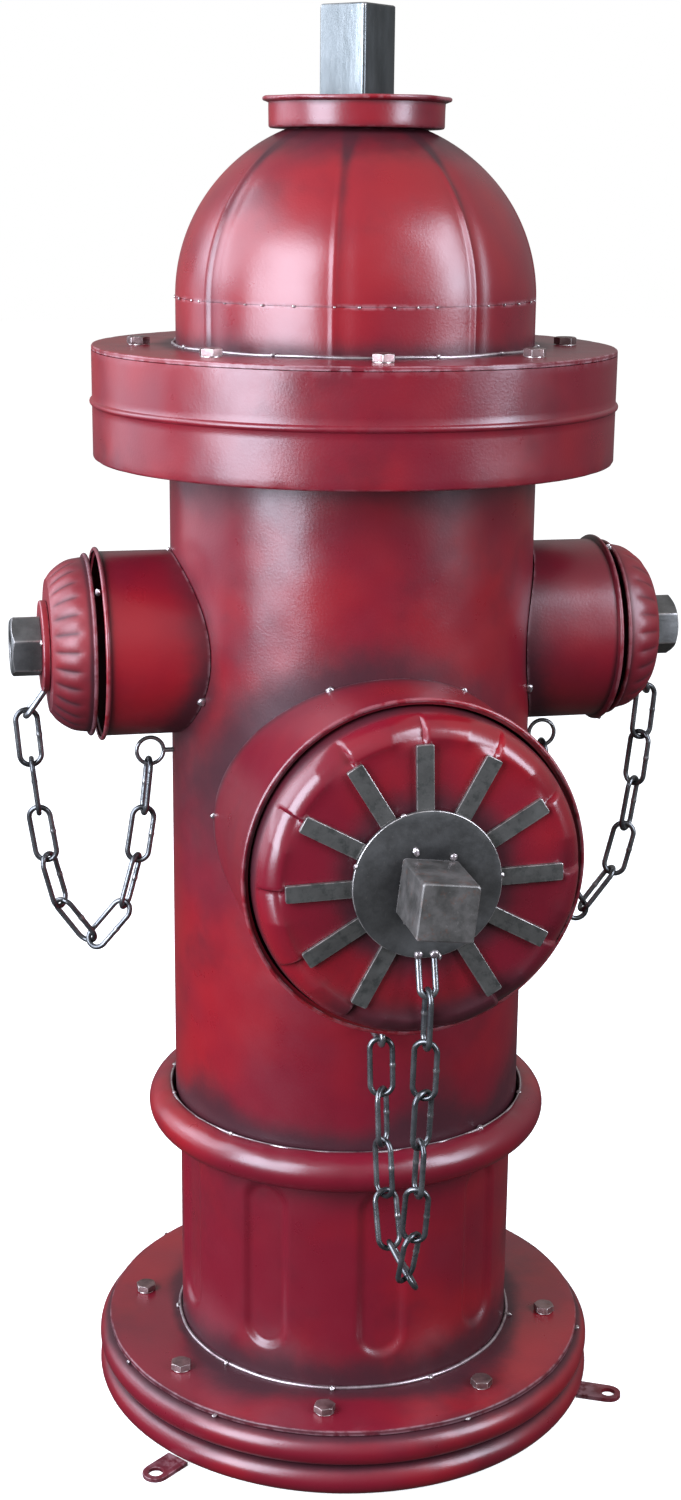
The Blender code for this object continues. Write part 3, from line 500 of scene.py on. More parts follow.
class Shader:
    """A material with one Principled shader, and a short way to add nodes to it."""

    def __init__(self, name):
        self.material = bpy.data.materials.new(name)
        self.material.use_nodes = True
        self.tree = self.material.node_tree
        self.main = self.tree.nodes["Principled BSDF"]
        coordinates = self.tree.nodes.new("ShaderNodeTexCoord")
        self.place = coordinates.outputs["Object"]

    def feed(self, socket, value):
        if isinstance(value, bpy.types.NodeSocket):
            self.tree.links.new(value, socket)
        else:
            socket.default_value = value

    def noise(self, scale, detail=3.0, roughness=0.55, stretch=None):
        node = self.tree.nodes.new("ShaderNodeTexNoise")
        vector = self.place
        if stretch:
            mapping = self.tree.nodes.new("ShaderNodeMapping")
            mapping.inputs["Scale"].default_value = stretch
            self.tree.links.new(vector, mapping.inputs["Vector"])
            vector = mapping.outputs[0]
        self.tree.links.new(vector, node.inputs["Vector"])
        node.inputs["Scale"].default_value = scale
        node.inputs["Detail"].default_value = detail
        node.inputs["Roughness"].default_value = roughness
        return node.outputs[0]

    def attribute(self, name):
        node = self.tree.nodes.new("ShaderNodeAttribute")
        node.attribute_name = name
        return node.outputs["Fac"]

    def math(self, operation, *values):
        node = self.tree.nodes.new("ShaderNodeMath")
        node.operation = operation
        for socket, value in zip(node.inputs, values):
            self.feed(socket, value)
        return node.outputs[0]

    def step(self, value, low, high):
        node = self.tree.nodes.new("ShaderNodeMapRange")
        node.interpolation_type = "SMOOTHSTEP"
        self.feed(node.inputs["Value"], value)
        self.feed(node.inputs["From Min"], low)
        self.feed(node.inputs["From Max"], high)
        return node.outputs[0]

    def mix(self, factor, first, second):
        node = self.tree.nodes.new("ShaderNodeMix")
        node.data_type = "RGBA"
        self.feed(node.inputs[0], factor)
        for socket, colour in ((node.inputs[6], first), (node.inputs[7], second)):
            self.feed(socket, (*colour, 1.0) if isinstance(colour, tuple) else colour)
        return node.outputs[2]

    def relief(self, height, distance, normal=None):
        node = self.tree.nodes.new("ShaderNodeBump")
        node.inputs["Strength"].default_value = 1.0
        node.inputs["Distance"].default_value = distance
        self.tree.links.new(height, node.inputs["Height"])
        if normal:
            self.tree.links.new(normal, node.inputs["Normal"])
        return node.outputs[0]


PAINT = (0.135, 0.0048, 0.0135)
PAINT_BRIGHT = (0.215, 0.0054, 0.0105)
PAINT_DEEP = (0.070, 0.0055, 0.0120)
# Dark patina colour; the same colour also paints shade in a few places.
SOOT_AND_SHADE = (0.034, 0.0125, 0.0165)
RUBBED = (0.46, 0.28, 0.30)


def red_paint(name="satin crimson paint", roughness=0.3):
    """Satin paint in uneven crimson, smoked dark in its seams, darkened with painted shade in a few places,
    and rubbed pale on its edges.
    """
    shader = Shader(name)
    cloud = shader.step(shader.noise(6.0, 3.0, 0.6), 0.42, 0.66)
    body = shader.mix(cloud, PAINT, PAINT_BRIGHT)
    drift = shader.step(shader.noise(16.0, 4.0, 0.6), 0.50, 0.80)
    body = shader.mix(shader.math("MULTIPLY", drift, 0.6), body, PAINT_DEEP)
    fine = shader.step(shader.noise(260.0, 4.0, 0.7), 0.62, 0.80)
    body = shader.mix(shader.math("MULTIPLY", fine, 0.22), body, PAINT_DEEP)

    soot_and_shade_mask = shader.attribute("soot_and_shade")
    patches = shader.math("SUBTRACT", shader.noise(34.0, 5.0, 0.65), 0.5)
    veil = shader.math("ADD", soot_and_shade_mask, shader.math("MULTIPLY", patches, 0.7))
    veil = shader.math("MULTIPLY", shader.step(veil, 0.05, 1.05), shader.step(soot_and_shade_mask, 0.0, 0.12))
    # The dark mix here is soot in the seams, and also painted shade: under the flange and the collar, on the
    # undersides of the side outlets and caps, and over the left side cap.
    body = shader.mix(shader.math("MULTIPLY", veil, 0.90), body, SOOT_AND_SHADE)

    worn = shader.step(shader.noise(95.0, 4.0, 0.7), 0.40, 0.58)
    edge = shader.math("MULTIPLY", shader.attribute("bare"), worn)
    body = shader.mix(shader.math("MULTIPLY", edge, 0.8), body, RUBBED)
    shader.feed(shader.main.inputs["Base Color"], body)
    rough = shader.math("MULTIPLY_ADD", shader.noise(40.0, 4.0, 0.6), 0.16, roughness - 0.08)
    rough = shader.math("MULTIPLY_ADD", veil, 0.10, rough)
    shader.feed(shader.main.inputs["Roughness"], rough)
    shine = shader.math("MULTIPLY_ADD", veil, -0.40, 0.68)
    shader.feed(shader.main.inputs["Specular IOR Level"], shine)
    peel = shader.relief(shader.noise(620.0, 2.0, 0.5), 0.00006)
    dents = shader.relief(shader.noise(11.0, 2.0, 0.5), 0.0022, peel)
    shader.feed(shader.main.inputs["Normal"], dents)
    return shader.material


def steel(name, dark, pale, roughness, rust=0.0, scratch=(1, 1, 1), metallic=0.86):
    """Bare steel with a dark skin, brushed marks, and bright metal where edges are rubbed."""
    shader = Shader(name)
    skin = shader.step(shader.noise(55.0, 5.0, 0.65, scratch), 0.30, 0.75)
    body = shader.mix(skin, dark, pale)
    specks = shader.step(shader.noise(420.0, 3.0, 0.7), 0.60, 0.76)
    body = shader.mix(shader.math("MULTIPLY", specks, 0.35), body, (0.30, 0.27, 0.25))
    if rust:
        spots = shader.step(shader.noise(130.0, 4.0, 0.75), 0.56, 0.66)
        body = shader.mix(shader.math("MULTIPLY", spots, rust), body, (0.17, 0.060, 0.030))
    # The dark mix here is soot on most pieces, and painted shade on one face of the crown nut.
    soot_and_shade_mask = shader.attribute("soot_and_shade")
    body = shader.mix(shader.math("MULTIPLY", soot_and_shade_mask, 0.8), body, (0.018, 0.017, 0.018))
    worn = shader.step(shader.noise(150.0, 4.0, 0.7), 0.34, 0.52)
    edge = shader.math("MULTIPLY", shader.attribute("bare"), worn)
    body = shader.mix(edge, body, (0.62, 0.56, 0.53))
    shader.feed(shader.main.inputs["Base Color"], body)
    shader.main.inputs["Metallic"].default_value = metallic
    rough = shader.math("MULTIPLY_ADD", shader.noise(90.0, 4.0, 0.6, scratch), 0.26, roughness - 0.13)
    shader.feed(shader.main.inputs["Roughness"], rough)
    grain = shader.relief(shader.noise(300.0, 3.0, 0.6, scratch), 0.00012)
    shader.feed(shader.main.inputs["Normal"], grain)
    return shader.material


def pale_floor():
    shader = Shader("pale studio floor")
    tone = shader.mix(shader.step(shader.noise(2.0, 2.0), 0.3, 0.7), (0.78, 0.78, 0.78), (0.82, 0.82, 0.82))
    shader.feed(shader.main.inputs["Base Color"], tone)
    shader.main.inputs["Roughness"].default_value = 0.6
    shader.main.inputs["Specular IOR Level"].default_value = 0.2
    shader.main.inputs["Emission Color"].default_value = (1.0, 1.0, 1.0, 1.0)
    shader.main.inputs["Emission Strength"].default_value = 0.7
    return shader.material


paint = red_paint()
cap_paint = red_paint("satin crimson paint on the caps", roughness=0.25)
side_paint = red_paint("dull crimson paint on the side caps", roughness=0.42)
gunmetal = steel("dark gunmetal", (0.115, 0.112, 0.108), (0.210, 0.205, 0.200), 0.38)
bar_metal = steel("welded bar steel", (0.110, 0.112, 0.104), (0.190, 0.190, 0.176), 0.34)
cube_metal = steel(
    "worn cube steel", (0.060, 0.056, 0.050), (0.165, 0.148, 0.138), 0.42, rust=0.35, metallic=0.5
)
crown_metal = steel(
    "brushed crown steel", (0.125, 0.135, 0.135), (0.215, 0.225, 0.225), 0.34, scratch=(1, 1, 0.25)
)
chain_metal = steel("chain wire", (0.110, 0.112, 0.118), (0.300, 0.300, 0.300), 0.28)
bolt_metal = steel("rubbed bolt heads", (0.120, 0.065, 0.065), (0.360, 0.240, 0.230), 0.36, rust=0.3)
weld_metal = steel("bright weld", (0.24, 0.18, 0.19), (0.56, 0.47, 0.49), 0.32)
seam_wire = steel("seam wire", (0.20, 0.120, 0.135), (0.50, 0.39, 0.42), 0.38)

# ---------------------------------------------------------------- soot in the seams, and painted shade on the barrel


def radial(places):
    return np.hypot(places[:, 0], places[:, 1])


def near_height(places, height, reach):
    return bump(np.abs(places[:, 2] - height), reach)


def front_distance(places):
    """How far outside the front outlet's tube a place on the barrel is."""
    away = np.hypot(places[:, 0], places[:, 2] - FRONT_Z) - FRONT_TUBE_R
    return np.where(places[:, 1] < 0, np.maximum(away, 0), 1.0)


def side_distance(places):
    away = np.hypot(places[:, 1], places[:, 2] - SIDE_Z) - SIDE_TUBE_R
    return np.where(np.abs(places[:, 0]) > 0.05, np.maximum(away, 0), 1.0)


def barrel_soot_and_shade(places):
    z = places[:, 2]
    uneven = 1 + 0.4 * ripple(np.arctan2(places[:, 1], places[:, 0]), 4, (2, 5, 9))
    right = smoothstep(-0.07, 0.03, places[:, 0])
    reach = (0.024 + 0.016 * right) * uneven
    foot = 1.15 * bump(np.maximum(z - bottom_of("barrel") - 0.020, 0), reach)
    # Painted shade: the barrel is darkened just under the flange.
    head = 0.75 * bump(top_of("barrel") - z, 0.022 * uneven)
    above = np.clip((z - FRONT_Z) / 0.10 + 0.75, 0.25, 1.0)
    lateral = smoothstep(0.075, -0.02, places[:, 0])
    front = (0.45 + 0.5 * lateral) * above * bump(front_distance(places), 0.014 + 0.012 * lateral)
    side = 0.55 * bump(side_distance(places), 0.008)
    return foot + head + front + side


# ---------------------------------------------------------------- base


def rolled_ring(low, high, inner, floor=False):
    half = (high - low) / 2
    profile = [(inner, high), *arc(BASE_R - half, low + half, half, 90, -90, 20)]
    profile.append((0.0 if floor else inner, low))
    return densify(profile, 0.006)


def ring_shape(seed, depth):
    def shape(angle, r, z):
        outer = smoothstep(BASE_R - 0.02, BASE_R, r)
        return angle, r - depth * outer * (1 + ripple(angle, seed)) / 2, z

    return shape


def groove_soot(*heights):
    def soot_and_shade(places):
        total = np.zeros(len(places))
        for height in heights:
            total += near_height(places, height, 0.0032)
        return total + 0.8 * smoothstep(BASE_R - 0.012, BASE_R - 0.03, radial(places))

    return soot_and_shade


def make_base():
    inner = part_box("base_upper_ring")[1].x - 0.021
    for node, seed in (("base_lower_ring", 1), ("base_upper_ring", 2)):
        low, high = bottom_of(node), top_of(node)
        profile = rolled_ring(low, high, inner, floor=seed == 1)
        mesh = revolve(node, profile, ROUND, ring_shape(seed, 0.0004))
        mesh = sheet(mesh, 0.0015)
        finish(node, mesh, paint, node, soot_and_shade=groove_soot(low, high))
    edge = 0.0013
    profile = [
        (0.0, PLATE_TOP),
        *arc(PLATE_R - edge, PLATE_TOP - edge, edge, 90, 0, 4),
        (PLATE_R, PLATE_Z + 0.0004),
        (PLATE_R - 0.0004, PLATE_Z),
        (0.0, PLATE_Z),
    ]

    def uneven(angle, r, z):
        return angle, r - 0.0005 * (1 + ripple(angle, 5, (5, 11, 23))) * smoothstep(0.15, PLATE_R, r), z

    def soot_and_shade(places):
        r = radial(places)
        angle = np.arctan2(places[:, 1], places[:, 0])
        width = 0.016 * (1 + 0.5 * ripple(angle, 8, (2, 3, 5)))
        foot = 1.1 * bump(np.maximum(r - PEDESTAL_R - 0.004, 0), width)
        return foot + 0.8 * smoothstep(PLATE_R - 0.003, PLATE_R, r)

    mesh = revolve("base_plate", densify(profile, 0.007), ROUND, uneven)
    finish("base_plate", mesh, paint, "base_plate", soot_and_shade=soot_and_shade)


def hexagon(angle, flats):
    turn = math.pi / 3
    local = (angle + turn / 2) % turn - turn / 2
    return flats / 2 / np.cos(local)


def hex_solid(name, flats, low, high, chamfer, bore=0.0):
    """A hexagon head or nut along Z, with the curved chamfer a turned corner leaves."""
    crown = flats / 2 * 0.95
    outside = [(2.0, high), (3.0, high), (3.0, low), (1.0, low)]
    rows = [(1.0, high), *outside]
    if bore:
        inside = (1.0, high - 0.0006)
        rows = [inside, (1.5, high), *outside, inside]

    def shape(angle, r, z):
        """Here r only says which circle a point is on: bore, its rounded edge, crown or corner."""
        corner = hexagon(angle, flats)
        size = np.select([r == 1.0, r == 1.5, r == 2.0], [bore, bore + 0.0006, crown], corner)
        drop = np.where((r == 3.0) & (z == high), (corner - crown) * chamfer, 0.0)
        return angle, size, z - drop

    mesh = revolve(name, rows, 96, shape)
    return softened(mesh, 0.00035, 2)


def make_bolts(name, circle, first, top):
    """Eight hexagon heads on one plate."""
    head = hex_solid("bolt head", 0.013, 0.0006, 0.0053, 0.55)
    washer = revolve("bolt washer", [(0.0, 0.0006), (0.0062, 0.0006), (0.0064, 0.0), (0.0, 0.0)], 32)
    turned = moved(joined([head, washer]), Matrix.Rotation(0.35, 4, "Z"))
    pattern = bpy.data.objects.new("bolt pattern", turned)
    mesh = run_tree(
        rings, Piece=pattern, Count=8, First_Angle=first, Spacing=math.pi / 4, Radius=circle
    )
    bpy.data.objects.remove(pattern)
    finish(name, moved(mesh, Matrix.Translation((0, 0, top))), bolt_metal, flat=True)


def make_tacks(name, count, radius, size, height, first, seed, matrix=None):
    mesh = run_tree(
        tacks, Count=count, Radius=radius, Size=size, Height=height, First_Angle=first, Seed=seed
    )
    finish(name, moved(mesh, matrix or Matrix.Identity(4)), weld_metal)


def make_wire_ring(name, radius, wire, z, seed, wobble=0.0003):
    """A seam of thin wire that follows a round joint, a little unevenly."""
    profile = arc(radius, z, wire, 180, -180, 10)

    def shape(angle, r, height):
        out = wobble * ripple(angle, seed, (5, 9, 17))
        return angle, r + out, height + wobble * ripple(angle, seed + 1, (4, 11))

    finish(name, revolve(name, profile, ROUND, shape), seam_wire)


def make_tabs():
    for number in (1, 2, 3):
        node = f"anchor_tab_{number}"
        copy = bmesh.new()
        copy.from_mesh(frame["nodes"][node].data)
        bmesh.ops.remove_doubles(copy, verts=copy.verts, dist=0.00001)
        bmesh.ops.dissolve_limit(copy, angle_limit=0.02, verts=copy.verts, edges=copy.edges)
        mesh = bpy.data.meshes.new(node)
        copy.to_mesh(mesh)
        copy.free()
        mesh = softened(mesh, 0.0004, 2)
        finish(node, mesh, paint, node, soot_and_shade=lambda places: np.full(len(places), 0.6), flat=True)


# ---------------------------------------------------------------- pedestal, collar, barrel


def make_pedestal():
    low, high = bottom_of("pedestal"), top_of("pedestal")
    mesh = run_tree(
        fluted,
        Radius=PEDESTAL_R,
        Bottom=low,
        Top=high,
        Flutes=9,
        First_Angle=FRONT_ANGLE,
        Half_Width=0.0172,
        Depth=0.0034,
        End_Margin=0.0215,
    )
    work = bmesh.new()
    work.from_mesh(mesh)
    bmesh.ops.recalc_face_normals(work, faces=work.faces)
    if sum(face.normal.dot(face.calc_center_median()) for face in work.faces) < 0:
        bmesh.ops.reverse_faces(work, faces=work.faces)
    work.to_mesh(mesh)
    work.free()

    def soot_and_shade(places):
        z = places[:, 2]
        angle = np.arctan2(places[:, 1], places[:, 0])
        right = 0.5 + 0.5 * np.cos(angle + 0.5)
        foot = 1.05 * bump(z - low, 0.016 + 0.018 * right)
        # The darkening at the top of the pedestal is painted shade under the collar; the darkening at its
        # foot is soot.
        return foot + 0.5 * bump(high - z, 0.018)

    finish("pedestal", sheet(mesh, 0.0015), paint, "pedestal", soot_and_shade=soot_and_shade)


def make_collar():
    low, high = bottom_of("collar"), top_of("collar")
    middle = COLLAR_R - COLLAR_BEAD
    profile = arc(middle, low + COLLAR_BEAD, COLLAR_BEAD, 100, -90, 28)
    profile.append((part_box("collar")[1].x - 0.034, low))

    def shape(angle, r, z):
        upper = smoothstep(low + 0.017, high, z)
        dents = np.maximum(ripple(angle, 12, (6, 13, 21, 34, 47)), 0)
        return angle, r + 0.0008 * ripple(angle, 14, (4, 9, 19, 31)) * upper, z - 0.0013 * dents * upper

    def soot_and_shade(places):
        z, r = places[:, 2], radial(places)
        inner = smoothstep(middle + 0.002, middle - 0.004, r)
        under = smoothstep(low + 0.007, low, z)
        return inner + 0.9 * under

    mesh = sheet(revolve("collar", densify(profile, 0.004), 288, shape), 0.0015)
    finish("collar", mesh, paint, "collar", soot_and_shade=soot_and_shade)
    foot = BARREL_R + 0.0030
    make_wire_ring("collar_seam_wire", foot, 0.0009, high - 0.0008, 30)
    make_tacks("collar_tacks", 10, foot, 0.0016, high - 0.0002, 0.15, 3)


def make_barrel():
    low, high = bottom_of("barrel"), top_of("barrel")
    profile = densify([(BARREL_R, high), (BARREL_R, low)], 0.0035)

    def shape(angle, r, z):
        wave = ripple(angle + 2.2 * z, 21, (2, 3, 5, 8)) * (0.5 + 0.5 * np.sin(9 * z + 1.0))
        return angle, r - 0.0003 * (1 + wave), z

    mesh = sheet(revolve("barrel", profile, 240, shape), 0.0015)
    finish("barrel", mesh, paint, "barrel", soot_and_shade=barrel_soot_and_shade)


# ---------------------------------------------------------------- flange, dome and crown


def make_flange():
    low, high = bottom_of("flange_drum"), top_of("flange_drum")
    middle = (low + FLANGE_TOP) / 2
    bead = arc(FLANGE_R - 0.0004, middle, 0.0021, 75, -75, 8)
    profile = [(FLANGE_R, high), (FLANGE_R, middle + 0.0023), *bead, (FLANGE_R, middle - 0.0023)]
    profile += [*arc(FLANGE_R - 0.0016, low + 0.0016, 0.0016, 0, -90, 4), (0.0, low)]

    def shape(angle, r, z):
        edge = smoothstep(low + 0.006, low, z) * smoothstep(0.15, FLANGE_R, r)
        nicks = np.maximum(ripple(angle, 41, (19, 31, 43, 67)), 0)
        swell = 0.0005 * ripple(angle, 42, (3, 5, 8)) * smoothstep(0.15, FLANGE_R, r)
        return angle, r + swell - 0.0009 * edge * nicks, z

    def soot_and_shade(places):
        z, r = places[:, 2], radial(places)
        angle = np.arctan2(places[:, 1], places[:, 0])
        drift = 0.5 + 0.5 * ripple(angle, 45, (2, 3, 5))
        side = smoothstep(0.15, FLANGE_R - 0.003, r)
        line = near_height(places, middle - 0.0035, 0.0014)
        line += 0.5 * near_height(places, middle + 0.0034, 0.0012)
        return side * (0.62 * drift * bump(z - low, 0.014) + 0.55 * line) + (1 - side) * 0.55

    mesh = sheet(revolve("flange_drum", densify(profile, 0.005), 288, shape), 0.0015)
    finish("flange_drum", mesh, paint, "flange_drum", soot_and_shade=soot_and_shade)

    edge = 0.0011
    cover = [
        (0.0, FLANGE_TOP),
        *arc(FLANGE_R - edge, FLANGE_TOP - edge, edge, 90, 0, 4),
        (FLANGE_R, FLANGE_PLATE_Z + 0.0003),
        (FLANGE_R - 0.0003, FLANGE_PLATE_Z),
        (0.0, FLANGE_PLATE_Z),
    ]

    def nicked(angle, r, z):
        nicks = np.maximum(ripple(angle, 51, (17, 29, 41, 61)), 0)
        outer = smoothstep(FLANGE_R - 0.004, FLANGE_R, r)
        swell = 0.0005 * ripple(angle, 42, (3, 5, 8)) * smoothstep(0.15, FLANGE_R, r)
        upper = z > FLANGE_PLATE_Z + 0.001
        return angle, r + swell - 0.0008 * outer * nicks, z - 0.0005 * outer * nicks * upper

    def cover_soot(places):
        r = radial(places)
        foot = 0.95 * bump(np.maximum(r - DOME_R - 0.003, 0), 0.011)
        return foot + 0.3 * smoothstep(FLANGE_R - 0.001, FLANGE_R, r)

    mesh = revolve("flange_top_plate", densify(cover, 0.006), 288, nicked)
    finish("flange_top_plate", mesh, paint, "flange_top_plate", soot_and_shade=cover_soot)


GORES = 8
GORE_FIRST = FRONT_ANGLE + math.radians(-19.0)


def gore_shape(z_crown):
    """Pressed seams between gores: a thin raised fold with a shallow hollow beside it."""

    def shape(angle, r, z):
        pitch = 2 * math.pi / GORES
        local = (angle - GORE_FIRST + pitch / 2) % pitch - pitch / 2
        across = local * r
        fade = smoothstep(z_crown, z_crown - 0.055, z) * (0.75 + 0.25 * np.cos(5 * angle))
        fold = 0.0016 * bump(across, 0.0016) - 0.0013 * bump(across - 0.0065, 0.0060)
        panel = -0.0011 * (1 - np.cos(2 * math.pi * local / pitch)) / 2
        return angle, r + fade * fold + panel * smoothstep(0.03, 0.10, r), z

    return shape


def gore_soot(z_foot, z_crown):
    def soot_and_shade(places):
        angle = np.arctan2(places[:, 1], places[:, 0])
        pitch = 2 * math.pi / GORES
        local = (angle - GORE_FIRST + pitch / 2) % pitch - pitch / 2
        across = local * radial(places)
        z = places[:, 2]
        line = bump(across - 0.0025, 0.0036) * (0.18 + 0.42 * smoothstep(z_foot + 0.01, z_crown - 0.03, z))
        crown = 0.8 * smoothstep(z_crown - 0.030, z_crown - 0.004, z)
        foot = 0.8 * bump(z - z_foot, 0.010)
        return line + crown + foot

    return soot_and_shade


def make_dome():
    foot, seam, crown = bottom_of("dome_skirt"), top_of("dome_skirt"), top_of("dome")
    profile = densify([(DOME_R, seam), (DOME_R, foot)], 0.002)
    mesh = sheet(revolve("dome_skirt", profile, 480, gore_shape(crown)), 0.0012)
    finish("dome_skirt", mesh, paint, "dome_skirt", soot_and_shade=gore_soot(foot, crown))

    low = bottom_of("dome")
    top_r = 0.0447
    end = math.acos(top_r / DOME_R)
    height = (crown - low) / math.sin(end)
    profile = []
    for i in range(57):
        angle = end * (1 - i / 56)
        profile.append((DOME_R * math.cos(angle), low + height * math.sin(angle)))
    mesh = sheet(revolve("dome", profile, 480, gore_shape(crown)), 0.0012)

    def soot_and_shade(places):
        return np.maximum(gore_soot(foot, crown)(places), 0.5 * bump(places[:, 2] - low, 0.0012))

    finish("dome", mesh, paint, "dome", soot_and_shade=soot_and_shade)
    make_tacks("dome_seam_tacks", 40, DOME_R - 0.0001, 0.0008, seam + 0.0001, 0.1, 7)
    make_wire_ring("dome_foot_wire", DOME_R + 0.0014, 0.0010, FLANGE_TOP + 0.0006, 33)
    make_tacks("dome_foot_tacks", 10, DOME_R + 0.0020, 0.0015, FLANGE_TOP + 0.0012, 0.4, 9)


def make_crown():
    low, high = bottom_of("crown_pan"), top_of("crown_pan")
    rim = radius_of("crown_pan")
    wall = rim - 0.0041
    profile = [
        *arc(rim - 0.0013, high - 0.0013, 0.0013, 150, -90, 10),
        (wall + 0.0002, high - 0.0036),
        *arc(wall - 0.0016, low + 0.0016, 0.0016, 0, -90, 4),
        (0.0, low),
    ]

    def shape(angle, r, z):
        lift = smoothstep(high - 0.006, high, z)
        out = 0.0004 * ripple(angle, 61, (2, 5, 11)) * lift
        return angle, r + out, z + 0.0004 * ripple(angle, 62, (2, 4, 9)) * lift

    def soot_and_shade(places):
        z, r = places[:, 2], radial(places)
        return 0.5 * bump(z - low, 0.003) + 0.7 * bump(z - (high - 0.004), 0.0013) * (r > wall - 0.001)

    mesh = sheet(revolve("crown_pan", densify(profile, 0.004), ROUND, shape), 0.0012)
    finish("crown_pan", mesh, paint, "crown_pan", soot_and_shade=soot_and_shade)
    low, high = bottom_of("crown_nut"), top_of("crown_nut")
    mesh = square_tube("crown_nut", high - low)
    place = Matrix.Translation((0, 0, low)) @ Matrix.Rotation(CROWN_TURN, 4, "Z")

    def painted_shade_side(places):
        """Painted shade: the face turned away from the lights is darkened, standing for the dark room it
        reflects.
        """
        turn = CROWN_TURN - math.pi / 2
        out = places[:, 0] * math.cos(turn) + places[:, 1] * math.sin(turn)
        return 0.62 * smoothstep(NUT_WIDTH / 2 - 0.0012, NUT_WIDTH / 2 - 0.0002, out)

    nut = moved(mesh, place)
    finish("crown_nut", nut, crown_metal, "crown_nut", soot_and_shade=painted_shade_side, flat=True)
    make_tacks("crown_tacks", 4, NUT_WIDTH / 2 + 0.002, 0.0022, low + 0.0006, CROWN_TURN, 15)


def square_tube(name, length):
    """A square tube closed at its far end, with rounded corners and a welded cap plate."""
    half, corner = NUT_WIDTH / 2, 0.0021
    outline = []
    for quarter in range(4):
        for step in range(7):
            angle = math.pi / 2 * (quarter + step / 6)
            diagonal = math.pi / 2 * (quarter + 0.5)
            x = math.copysign(half - corner, math.cos(diagonal)) + corner * math.cos(angle)
            y = math.copysign(half - corner, math.sin(diagonal)) + corner * math.sin(angle)
            outline.append((x, y))
    work = bmesh.new()
    levels = []
    heights = [0.0, *np.linspace(0.0006, length - 0.0010, 24), length - 0.0004, length]
    for z in heights:
        inset = 0.0 if z < length - 0.0005 else (0.0003 if z < length - 0.0001 else 0.0009)
        scale = 1 - inset / half
        levels.append([work.verts.new((x * scale, y * scale, z)) for x, y in outline])
    count = len(outline)
    for lower, upper in zip(levels, levels[1:]):
        for i in range(count):
            k = (i + 1) % count
            work.faces.new((lower[i], lower[k], upper[k], upper[i]))
    work.faces.new(levels[-1])
    bmesh.ops.triangulate(work, faces=[face for face in work.faces if len(face.verts) > 4])
    mesh = bpy.data.meshes.new(name)
    work.to_mesh(mesh)
    work.free()
    return sheet(mesh, 0.002)


# ---------------------------------------------------------------- outlets and caps


def saddle_shape(tube, reach, seed):
    """The tube's root follows the barrel: each ruling ends where it meets the round wall."""

    def shape(angle, r, z):
        lateral = np.minimum(np.abs(tube * np.cos(angle)), BARREL_R - 0.001)
        root = np.sqrt(BARREL_R**2 - lateral**2) + 0.0004
        share = np.clip((reach - 0.006 - z) / (reach - 0.006), 0, 1)
        z = np.where(z < reach - 0.006, (reach - 0.006) + (root - reach + 0.006) * share, z)
        return angle, r + 0.0003 * ripple(angle, seed, (2, 3, 5)), z

    return shape


def outlet_profile(tube, reach):
    rim = arc(tube + 0.0016, reach - 0.0014, 0.0014, 140, -60, 10)
    return densify([*rim, (tube, reach - 0.0036), (tube, 0.0)], 0.006)


def make_outlet(node, tube, reach, way, height, soot_and_shade):
    place = Matrix.Translation((0, 0, height)) @ ALONG[way]
    mesh = revolve(node, outlet_profile(tube, reach), TUBE_ROUND, saddle_shape(tube, reach, len(node)))
    mesh = sheet(mesh, 0.0015)
    finish(node, moved(mesh, place), paint, node, soot_and_shade=soot_and_shade)


def side_soot_and_shade(places):
    out = np.abs(places[:, 0])
    root = np.sqrt(np.maximum(BARREL_R**2 - places[:, 1] ** 2, 0.0))
    # shade is painted shade, growing towards the underside of each outlet; the bands at the root and the rim
    # are soot.
    shade = smoothstep(0.03, -0.06, places[:, 2] - SIDE_Z)
    rim = 0.6 * bump(out - SIDE_REACH + 0.004, 0.0016)
    return (0.55 + 0.4 * shade) * bump(out - root, 0.016) + rim + 0.35 * shade


def front_soot(places):
    out = -places[:, 1]
    root = np.sqrt(np.maximum(BARREL_R**2 - places[:, 0] ** 2, 0.0))
    return 0.75 * bump(out - root, 0.009) + 0.5 * bump(out - FRONT_REACH + 0.0035, 0.0016)


RIBS = 28


